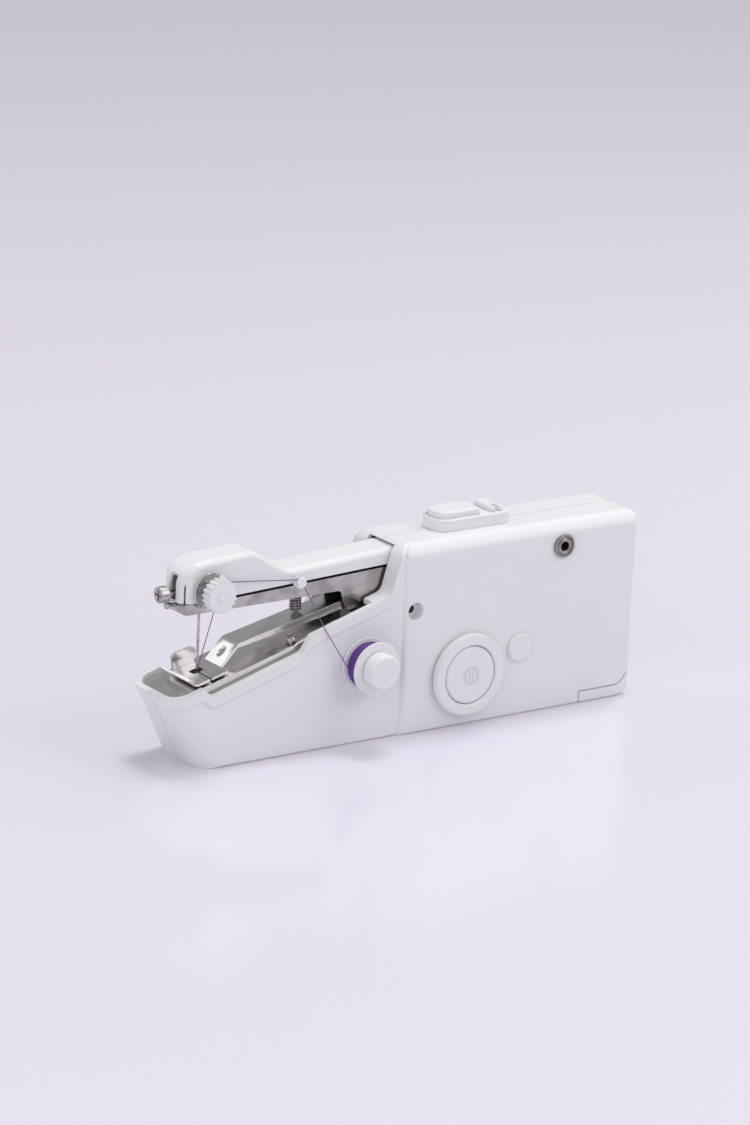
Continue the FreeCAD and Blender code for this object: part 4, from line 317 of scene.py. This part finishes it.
springSteps = 32   # for each turn
springSizes = {   # by node, in mm
    "presser_spring": {"name": "presserSpring", "body": "presser", "axis": "Z",
                       "foot": (-38.5, 0, 50.6),
                       "radius": 1.95, "wire": 0.8, "turns": 9, "length": 9.5},
    "tension_spring": {"name": "tensionSpring", "body": "needle_arm", "axis": "Y",
                       "foot": (-82.3, -12.1, 66.7),
                       "radius": 3.4, "wire": 0.4, "turns": 3, "length": 2.8},
    "button_spring": {"name": "buttonSpring", "body": "case", "axis": "Z",
                      "foot": (32.1, 0, 75.65),
                      "radius": 2.6, "wire": 0.45, "turns": 4, "length": 4.35},
}
springSquash = {   # by node: joint, foot in mm, share of the height that is left
    "presser_spring": ("arm_swing", (-38.5, 0, 50.2), 0.42),
    "button_spring": ("button_press", (32.1, 0, 75.4), 0.55),
}
springs = {}
for node, size in springSizes.items():
    springs[node] = coil(size["name"], size["axis"], size["foot"], size["radius"], size["wire"],
                         size["turns"], size["length"], springSteps)
    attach(springs[node], size["body"])
    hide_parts(node)
for node, (joint, foot, keep) in springSquash.items():
    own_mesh(springs[node])
print("winding and springs made")

# softened pieces: a copy of each solid's skin, merged, with its sharp edges rolled over
softEdges = {   # node: piece, edge radius in mm
    "arm_cover": ("armCover", 0.35), "hand_wheel": ("handWheel", 0.3),
    "hand_wheel_cap": ("handWheelCap", 0.25), "axle_plug": ("axlePlug", 0.3),
    "spool": ("spool", 0.4), "spool_cap": ("spoolCap", 0.3), "thread_guide": ("threadGuide", 0.3),
    "bed_channel": ("bedChannel", 0.25), "arm_channel": ("armChannel", 0.2),
    "presser_plate": ("presserPlate", 0.12), "tension_disc_inner": ("tensionDiscInner", 0.12),
    "tension_disc_outer": ("tensionDiscOuter", 0.15), "needle_screw": ("needleScrew", 0.2),
    "clamp_screw": ("clampScrew", 0.2), "needle_clamp": ("needleClamp", 0.3),
    "bed_screws": ("bedScrews", 0.2), "jack_nut": ("jackNut", 0.15),
    "power_jack": ("powerJack", 0.15), "case_screws": ("caseScrews", 0.15),
    "presser_bracket": ("presserBracket", 0.2), "drive_lever": ("driveLever", 0.2),
    "looper_hook": ("looperHook", 0.1), "motor": ("motor", 0.3),
    "spool_spindle": ("spoolSpindle", 0.2), "tension_stud": ("tensionStud", 0.15),
}
softFront = {"power_jack": -16.7}   # mm; edges behind this y lie in the case and stay as cut
softRoll = {"fold": 38, "smooth": 35, "flat": 0.6, "segments": 2}   # the angles in degrees


def softCopy(node, name, radius):
    piece = bpy.data.objects.new(name, cadNodes[node].data.copy())
    piece.data.name = name
    bpy.context.scene.collection.objects.link(piece)
    selectOnly(piece)
    bpy.ops.mesh.customdata_custom_splitnormals_clear()
    toEdit()
    bpy.ops.mesh.select_all(action="SELECT")
    bpy.ops.mesh.remove_doubles(threshold=mergeWithin["skin"])
    bpy.ops.mesh.dissolve_limited(angle_limit=math.radians(softRoll["flat"]))
    bpy.ops.mesh.select_all(action="DESELECT")
    bpy.ops.mesh.select_mode(type="EDGE")
    bpy.ops.mesh.edges_select_sharp(sharpness=math.radians(softRoll["fold"]))
    toObject()
    weights = piece.data.attributes.new("bevel_weight_edge", "FLOAT", "EDGE")
    for edge in piece.data.edges:
        ends = [piece.data.vertices[index].co for index in edge.vertices]
        middle = (ends[0] + ends[1]) / 2 / mm
        rolled = edge.select and middle.y < softFront.get(node, math.inf)
        weights.data[edge.index].value = 1.0 if rolled else 0.0
    roll = piece.modifiers.new("rolledEdge", "BEVEL")
    roll.width = radius * mm
    roll.segments = softRoll["segments"]
    roll.limit_method = "WEIGHT"
    roll.use_clamp_overlap = False
    roll.miter_outer = "MITER_ARC"
    applyModifiers(piece)
    bpy.ops.object.shade_smooth_by_angle(angle=math.radians(softRoll["smooth"]))
    flatten = piece.modifiers.new("flatFaces", "WEIGHTED_NORMAL")
    flatten.mode = "FACE_AREA"
    flatten.keep_sharp = True
    applyModifiers(piece)
    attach(piece, bodyOf[node])
    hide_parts(node)
    return piece


softPieces = {node: softCopy(node, *made) for node, made in softEdges.items()}
print("edges softened on", len(softPieces), "pieces")

# ribbed tension knob
knob = {
    "axis": (-82.3, 66.7), "back": -12.3, "face": -16.5, "bossFace": -17.0,   # mm
    "root": 5.8, "crest": 6.38, "ribRound": 0.28, "bossRadius": 2.1,   # mm
    "ribs": 19, "facets": 4,   # facets for each rib and its gap, half of them raised
    "roundSegments": 3, "fold": 35,   # fold in degrees
    "capCorners": 20,   # only the cap has more corners than this
}


def ribbedKnob():
    x, z = knob["axis"]
    facets = knob["ribs"] * knob["facets"]
    step = 2 * math.pi / facets

    def isRib(face):
        facet = math.floor(math.atan2(face.center.y, face.center.x) / step) % knob["facets"]
        return abs(face.normal.z) < facesAlong and facet < knob["facets"] / 2

    def isCap(face):
        return face.normal.z > facesAlong and len(face.vertices) > knob["capCorners"]

    selectNone()
    bpy.ops.mesh.primitive_cylinder_add(vertices=facets, radius=knob["root"] * mm,
                                        depth=(knob["back"] - knob["face"]) * mm,
                                        location=(0, 0, 0), end_fill_type="NGON")
    piece = nameActive("tensionKnob")
    selectFaces(piece, isRib)
    bpy.ops.mesh.extrude_region_shrink_fatten(
        TRANSFORM_OT_shrink_fatten={"value": (knob["crest"] - knob["root"]) * mm})
    bpy.ops.mesh.select_all(action="SELECT")
    bpy.ops.mesh.remove_doubles(threshold=mergeWithin["skin"])
    selectFaces(piece, isCap)
    bpy.ops.mesh.inset(thickness=(knob["root"] - knob["bossRadius"]) * mm)
    bpy.ops.mesh.extrude_region_move(
        TRANSFORM_OT_translate={"value": (0, 0, (knob["face"] - knob["bossFace"]) * mm)})
    toObject()
    piece.rotation_euler = (quarterTurn, 0, 0)
    piece.location = inMetres((x, (knob["face"] + knob["back"]) / 2, z))
    applyPlace(piece)
    roll = piece.modifiers.new("roundedRibs", "BEVEL")
    roll.width = knob["ribRound"] * mm
    roll.segments = knob["roundSegments"]
    roll.limit_method = "ANGLE"
    roll.angle_limit = math.radians(knob["fold"])
    roll.use_clamp_overlap = True
    applyModifiers(piece)
    bpy.ops.object.shade_smooth_by_angle(angle=math.radians(knob["fold"]))
    return piece


softPieces["tension_knob"] = ribbedKnob()
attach(softPieces["tension_knob"], "tension_dial")
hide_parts("tension_knob")
print("knob made")

# thin strips on both sides: a near-black strip that paints the shade in the gap under the arm
# cover, and the shell's ledge beside the steel bed
stripSizes = {   # across is the inner and outer y, route the ends of the top edge in x and z, in mm
    "armGapShade": {"body": "needle_arm", "slot": "black_plastic", "across": (6.85, 7.12),
                "height": 1.0, "route": ((-71.0, 63.09), (-2.0, 65.8))},
    "bedLedge": {"body": "case", "slot": "shell_white", "across": (12.25, 13.7),
                 "height": 0.6, "route": ((-86.5, 26.3), (-43.5, 38.87))},
}


def thinStrip(name, side, size):
    near, far = size["across"]
    (startX, startZ), (endX, endZ) = size["route"]
    selectNone()
    bpy.ops.mesh.primitive_plane_add(size=1, rotation=(0, quarterTurn, 0))
    piece = nameActive(name)
    piece.scale = (size["height"] * mm, (far - near) * mm, 1)
    piece.location = inMetres((startX, side * (near + far) / 2, startZ - size["height"] / 2))
    applyPlace(piece)
    toEdit()
    bpy.ops.mesh.select_mode(type="FACE")
    bpy.ops.mesh.select_all(action="SELECT")
    bpy.ops.mesh.extrude_region_move(
        TRANSFORM_OT_translate={"value": inMetres((endX - startX, 0, endZ - startZ))})
    toObject()
    evenNormals(piece, smoothBelow["strip"])
    return piece


strips = {}
for name, size in stripSizes.items():
    strips[name] = mergeInto(thinStrip(name + "Front", -1, size), thinStrip(name + "Back", 1, size))
    strips[name].name = strips[name].data.name = name
    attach(strips[name], size["body"])
print("thin strips laid")

# metal face of the power socket
collar = {
    "at": (73.8, -17.56, 65.2), "ring": 2.62, "wire": 0.76, "groove": 0.1,   # mm
    "flat": 0.3, "grooveFrom": 0.85,   # shares of the wire's and of the flat ring's height
    "ringSteps": 56, "ringSides": 16,
}


def socketCollar():
    selectNone()
    bpy.ops.mesh.primitive_torus_add(major_radius=collar["ring"] * mm,
                                     minor_radius=collar["wire"] * mm,
                                     major_segments=collar["ringSteps"],
                                     minor_segments=collar["ringSides"])
    piece = nameActive("jackCollar")
    piece.scale = (1, 1, collar["flat"])
    applyPlace(piece)
    grooveFrom = collar["wire"] * collar["flat"] * collar["grooveFrom"] * mm
    selectFaces(piece, lambda face: face.center.z > grooveFrom)
    bpy.ops.mesh.inset(thickness=collar["groove"] * mm, depth=-collar["groove"] * mm)
    toObject()
    piece.rotation_euler = (quarterTurn, 0, 0)
    piece.location = inMetres(collar["at"])
    applyPlace(piece)
    evenNormals(piece, smoothBelow["collar"])
    return piece


jackCollar = socketCollar()
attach(jackCollar, "case")
print("socket collar made")

# finishes
noiseRange = (0.3, 0.7)   # where most of a noise's values lie
edgeSamples = 6


def flatFinish(name, colour, rough, metal=0.0):
    finish = bpy.data.materials.new(name)
    finish.use_nodes = True
    shader = finish.node_tree.nodes["Principled BSDF"]
    shader.inputs["Base Color"].default_value = colour
    shader.inputs["Roughness"].default_value = rough
    shader.inputs["Metallic"].default_value = metal
    return finish, shader


def addNode(finish, kind, **values):
    node = finish.node_tree.nodes.new(kind)
    for key, value in values.items():
        node.inputs[key].default_value = value
    return node


def linkTo(finish, source, target):
    finish.node_tree.links.new(source, target)


def grain(finish, scale, detail, stretch=(1, 1, 1), turn=(0, 0, 0)):
    # noise on the object's own coordinates; scale is in lumps for each metre
    place = addNode(finish, "ShaderNodeTexCoord")
    fit = addNode(finish, "ShaderNodeMapping", Scale=stretch, Rotation=turn)
    noise = addNode(finish, "ShaderNodeTexNoise", Scale=scale, Detail=detail)
    linkTo(finish, place.outputs["Object"], fit.inputs["Vector"])
    linkTo(finish, fit.outputs["Vector"], noise.inputs["Vector"])
    return noise.outputs["Fac"]


def spread(finish, source, low, high, target, between=noiseRange):
    ranger = addNode(finish, "ShaderNodeMapRange", **{
        "From Min": between[0], "From Max": between[1], "To Min": low, "To Max": high})
    linkTo(finish, source, ranger.inputs["Value"])
    linkTo(finish, ranger.outputs["Result"], target)


def tint(finish, source, low, high, target, between=noiseRange):
    ramp = addNode(finish, "ShaderNodeValToRGB")
    for element, position, colour in zip(ramp.color_ramp.elements, between, (low, high)):
        element.position = position
        element.color = colour
    linkTo(finish, source, ramp.inputs["Fac"])
    linkTo(finish, ramp.outputs["Color"], target)


def relief(finish, source, depth, shader, edge=0.0):
    bump = addNode(finish, "ShaderNodeBump", Strength=1.0, Distance=depth)
    linkTo(finish, source, bump.inputs["Height"])
    if edge:
        soft = addNode(finish, "ShaderNodeBevel", Radius=edge)
        soft.samples = edgeSamples
        linkTo(finish, soft.outputs["Normal"], bump.inputs["Normal"])
    linkTo(finish, bump.outputs["Normal"], shader.inputs["Normal"])


shellWhite = {
    "colour": (0.83, 0.825, 0.84, 1), "shade": (0.815, 0.81, 0.827, 1), "rough": (0.34, 0.40),
    "cloud": (22, 3), "smear": (90, 6), "peel": (420, 1),   # scale and detail of each grain
    "peelDepth": 0.000001, "edge": 0.0005,   # m
    "coat": 0.08, "coatRough": 0.15,
}


def mouldedWhite():
    finish, shader = flatFinish("mouldedWhite", shellWhite["colour"], shellWhite["rough"][0])
    tint(finish, grain(finish, *shellWhite["cloud"]), shellWhite["shade"], shellWhite["colour"],
         shader.inputs["Base Color"])
    spread(finish, grain(finish, *shellWhite["smear"]), *shellWhite["rough"],
           shader.inputs["Roughness"])
    relief(finish, grain(finish, *shellWhite["peel"]), shellWhite["peelDepth"], shader,
           shellWhite["edge"])
    shader.inputs["Coat Weight"].default_value = shellWhite["coat"]
    shader.inputs["Coat Roughness"].default_value = shellWhite["coatRough"]
    return finish


steels = {   # slot: name, bright, dull, roughness, blotch scale, scratch depth in m
    "bright_steel": ("brightSheet", (0.78, 0.77, 0.76, 1), (0.68, 0.665, 0.66, 1),
                     (0.21, 0.26), 130, 0.00000015),
    "plain_steel": ("turnedSteel", (0.52, 0.51, 0.50, 1), (0.36, 0.35, 0.345, 1),
                    (0.14, 0.30), 300, 0.000001),
    "bed_steel": ("bedSheet", (0.74, 0.73, 0.72, 1), (0.67, 0.655, 0.645, 1),
                  (0.17, 0.22), 40, 0.0000002),
    "arm_steel": ("handledSheet", (0.50, 0.475, 0.47, 1), (0.33, 0.31, 0.305, 1),
                  (0.16, 0.32), 160, 0.000001),
    "polished_steel": ("polishedSheet", (0.80, 0.79, 0.78, 1), (0.70, 0.69, 0.68, 1),
                       (0.04, 0.09), 200, 0.0000004),
    # near-black for the pivot pin: painted shade, so that the deep pivot hole reads dark
    "pin_hole_shade": ("pinHoleShade", (0.05, 0.048, 0.045, 1), (0.03, 0.03, 0.03, 1),
                    (0.3, 0.45), 400, 0.000001),
    "bronze": ("sinteredBronze", (0.70, 0.50, 0.25, 1), (0.52, 0.36, 0.17, 1),
               (0.32, 0.48), 500, 0.000004),
    "dark_nickel": ("darkNickel", (0.36, 0.345, 0.33, 1), (0.24, 0.23, 0.22, 1),
                    (0.12, 0.26), 400, 0.000002),
}
rolling = {   # smears and scratches are so many times finer than the blotches
    "blotchDetail": 5, "blotchStretch": (0.7, 1, 1), "blotchRange": (0.34, 0.56),
    "smearScale": 3, "smearDetail": 4, "smearStretch": (0.2, 1, 1), "smearRange": (0.36, 0.66),
    "scratchScale": 14, "scratchDetail": 5, "scratchStretch": (0.05, 1, 1),
    "scratchTurn": (0, 0, 0.12),
    "edge": 0.00015,   # m
}


def rolledSteel(name, bright, dull, rough, blotch, scratch):
    # rolled along the machine, with handling marks and drawn scratches
    finish, shader = flatFinish(name, bright, rough[0], 1.0)
    blotches = grain(finish, blotch, rolling["blotchDetail"], rolling["blotchStretch"])
    smears = grain(finish, blotch * rolling["smearScale"], rolling["smearDetail"],
                   rolling["smearStretch"])
    scratches = grain(finish, blotch * rolling["scratchScale"], rolling["scratchDetail"],
                      rolling["scratchStretch"], rolling["scratchTurn"])
    tint(finish, blotches, dull, bright, shader.inputs["Base Color"], rolling["blotchRange"])
    spread(finish, smears, *rough, shader.inputs["Roughness"], rolling["smearRange"])
    relief(finish, scratches, scratch, shader, rolling["edge"])
    return finish


plastics = {   # slot: name, light, dark, roughness, cloud scale
    "gear_nylon": ("naturalNylon", (0.80, 0.78, 0.70, 1), (0.74, 0.72, 0.64, 1),
                   (0.38, 0.5), 120),
    "black_plastic": ("blackMoulding", (0.022, 0.022, 0.024, 1), (0.012, 0.012, 0.013, 1),
                      (0.35, 0.5), 200),
    "cell_jacket": ("cellJacket", (0.26, 0.27, 0.29, 1), (0.22, 0.23, 0.25, 1),
                    (0.28, 0.4), 80),
}
moulding = {
    "cloudDetail": 5, "peelScale": 8, "peelDetail": 3,
    "peelDepth": 0.00001, "edge": 0.0002,   # m
}


def cloudyPlastic(name, light, dark, rough, scale):
    finish, shader = flatFinish(name, light, rough[0])
    cloud = grain(finish, scale, moulding["cloudDetail"])
    peel = grain(finish, scale * moulding["peelScale"], moulding["peelDetail"])
    tint(finish, cloud, dark, light, shader.inputs["Base Color"])
    spread(finish, cloud, *rough, shader.inputs["Roughness"])
    relief(finish, peel, moulding["peelDepth"], shader, moulding["edge"])
    return finish


# the winding's darkening between the turns and on its core is painted shade
spunThread = {   # the wound colour goes dark between the turns; a single strand looks paler
    # dark is the painted shade in the valleys between the turns, light the thread's own colour
    "light": (0.15, 0.035, 0.31, 1), "dark": (0.024, 0.005, 0.065, 1),
    "paintedShadeRadius": 8.63, "crest": 8.82,   # mm from the spool's axis
    "strand": (0.26, 0.12, 0.36, 1), "strandDark": (0.13, 0.045, 0.23, 1),
    "ply": 2600, "plyDetail": 3, "plyStretch": (1, 0.5, 1), "plyTurn": (0.6, 0, 0.5),
    "plyDepth": 0.00006,   # m
    "rough": (0.42, 0.6), "sheen": 0.06,
}


def spunFinish(name, colour):
    finish, shader = flatFinish(name, colour, spunThread["rough"][0])
    ply = grain(finish, spunThread["ply"], spunThread["plyDetail"], spunThread["plyStretch"],
                spunThread["plyTurn"])
    spread(finish, ply, *spunThread["rough"], shader.inputs["Roughness"])
    relief(finish, ply, spunThread["plyDepth"], shader)
    shader.inputs["Sheen Weight"].default_value = spunThread["sheen"]
    return finish, shader, ply


def strandThread():
    finish, shader, ply = spunFinish("violetThread", spunThread["strand"])
    tint(finish, ply, spunThread["strandDark"], spunThread["strand"], shader.inputs["Base Color"])
    return finish


def woundThreadPaintedShade():
    # how far each point lies from the spool's axis sets its painted shade: darkest in the valleys
    # between the turns and on the core
    finish, shader = spunFinish("violetWindingPaintedShade", spunThread["light"])[:2]
    x, z = winding["axis"]
    place = addNode(finish, "ShaderNodeTexCoord")
    fit = addNode(finish, "ShaderNodeMapping", Location=inMetres((-x, 0, -z)), Scale=(1, 0, 1))
    far = addNode(finish, "ShaderNodeVectorMath")
    far.operation = "LENGTH"
    ranger = addNode(finish, "ShaderNodeMapRange", **{
        "From Min": spunThread["paintedShadeRadius"] * mm, "From Max": spunThread["crest"] * mm})
    linkTo(finish, place.outputs["Object"], fit.inputs["Vector"])
    linkTo(finish, fit.outputs["Vector"], far.inputs[0])
    linkTo(finish, far.outputs["Value"], ranger.inputs["Value"])
    tint(finish, ranger.outputs["Result"], spunThread["dark"], spunThread["light"],
         shader.inputs["Base Color"], (0, 1))
    return finish


# near-black painted shade for the gap under the arm cover, mottled at random
gapShadePaint = {
    "light": (0.006, 0.006, 0.006, 1), "dark": (0.002, 0.002, 0.002, 1), "rough": (0.78, 0.9),
    "dust": (300, 4),   # scale and detail
    "shine": 0.1,
}


def gapShadeFinish():
    finish, shader = flatFinish("paintedGapShade", gapShadePaint["light"], gapShadePaint["rough"][0])
    dust = grain(finish, *gapShadePaint["dust"])
    tint(finish, dust, gapShadePaint["dark"], gapShadePaint["light"], shader.inputs["Base Color"])
    spread(finish, dust, *gapShadePaint["rough"], shader.inputs["Roughness"])
    shader.inputs["Specular IOR Level"].default_value = gapShadePaint["shine"]
    return finish


finishes = {"shell_white": mouldedWhite(), "violet_winding": woundThreadPaintedShade(),
            "violet_thread": strandThread(), "painted_gap_shade": gapShadeFinish()}
finishes.update({slot: rolledSteel(*values) for slot, values in steels.items()})
finishes.update({slot: cloudyPlastic(*values) for slot, values in plastics.items()})
ownFinish = {   # nodes whose finish isn't their slot's
    "bed_channel": "bed_steel", "arm_channel": "arm_steel", "needle_clamp": "arm_steel",
    "tension_disc_inner": "polished_steel", "tension_disc_outer": "polished_steel",
    # the pivot pin takes the near-black painted shade of its hole
    "presser_spring": "dark_nickel", "arm_pivot_pin": "pin_hole_shade",
}


def dress(piece, slot):
    piece.data.materials.clear()
    piece.data.materials.append(finishes[slot])


for pieces in (cadNodes, softPieces, springs):
    for node, piece in pieces.items():
        dress(piece, ownFinish.get(node, slotOf[node]))
dress(threadSpoolRun, "violet_thread")
dress(threadArmRun, "violet_thread")
dress(threadWinding, "violet_winding")
# the strip under the arm cover is painted shade
dress(strips["armGapShade"], "painted_gap_shade")
dress(strips["bedLedge"], "shell_white")
dress(jackCollar, "dark_nickel")
print("finishes given")

# room and light
studio = {
    "floorColour": (0.77, 0.735, 0.83, 1), "floorRough": 0.14, "floorShine": 0.3,
    "floorSize": 24.0,   # m
    "sky": (0.97, 0.965, 1.0, 1), "skyDark": (0.74, 0.73, 0.75, 1), "skyStrength": 0.45,
    "darkWay": (0.334, 0.775, 0.538), "darkRange": (0.90, 0.985),   # a darker patch behind
    "sunWay": (0.20, 0.12, 0.96), "sunPower": 0.95, "sunSpread": 16,   # spread in degrees
    "lamps": [   # name, place, aim, size, watts; in m
        ("rightBox", (0.67, 0.12, 1.00), (0, 0, 0.03), 1.15, 3.5),
        ("frontBox", (0.75, -0.95, 0.85), (0.02, 0, 0.04), 1.0, 5.0),
        ("leftBox", (-1.05, -0.55, 0.50), (-0.03, 0, 0.04), 1.2, 4.4),
        ("backBox", (-0.40, 0.93, 0.68), (-0.07, 0, 0.04), 0.7, 1.3),
    ],
}


def layFloor():
    selectNone()
    bpy.ops.mesh.primitive_plane_add(size=studio["floorSize"])
    floor = nameActive("floor")
    finish, shader = flatFinish("paleFloor", studio["floorColour"], studio["floorRough"])
    shader.inputs["Specular IOR Level"].default_value = studio["floorShine"]
    floor.data.materials.append(finish)


def softRoom():
    world = bpy.data.worlds.new("softRoom")
    bpy.context.scene.world = world
    world.use_nodes = True
    sky = world.node_tree.nodes["Background"]
    sky.inputs["Strength"].default_value = studio["skyStrength"]
    place = addNode(world, "ShaderNodeTexCoord")
    facing = addNode(world, "ShaderNodeVectorMath")
    facing.operation = "DOT_PRODUCT"
    facing.inputs[1].default_value = Vector(studio["darkWay"]).normalized()
    linkTo(world, place.outputs["Generated"], facing.inputs[0])
    tint(world, facing.outputs["Value"], studio["sky"], studio["skyDark"], sky.inputs["Color"],
         studio["darkRange"])


def hangLight(name, kind, way):
    light = bpy.data.objects.new(name, bpy.data.lights.new(name, kind))
    light.rotation_euler = way.to_track_quat("-Z", "Y").to_euler()
    bpy.context.scene.collection.objects.link(light)
    return light


def setLights():
    sun = hangLight("softSun", "SUN", -Vector(studio["sunWay"]))
    sun.data.energy = studio["sunPower"]
    sun.data.angle = math.radians(studio["sunSpread"])
    for name, at, aim, size, watts in studio["lamps"]:
        lamp = hangLight(name, "AREA", Vector(aim) - Vector(at))
        lamp.location = at
        lamp.data.size = size
        lamp.data.energy = watts


layFloor()
softRoom()
setLights()
bpy.context.scene.view_settings.view_transform = "Standard"
print("stage set")
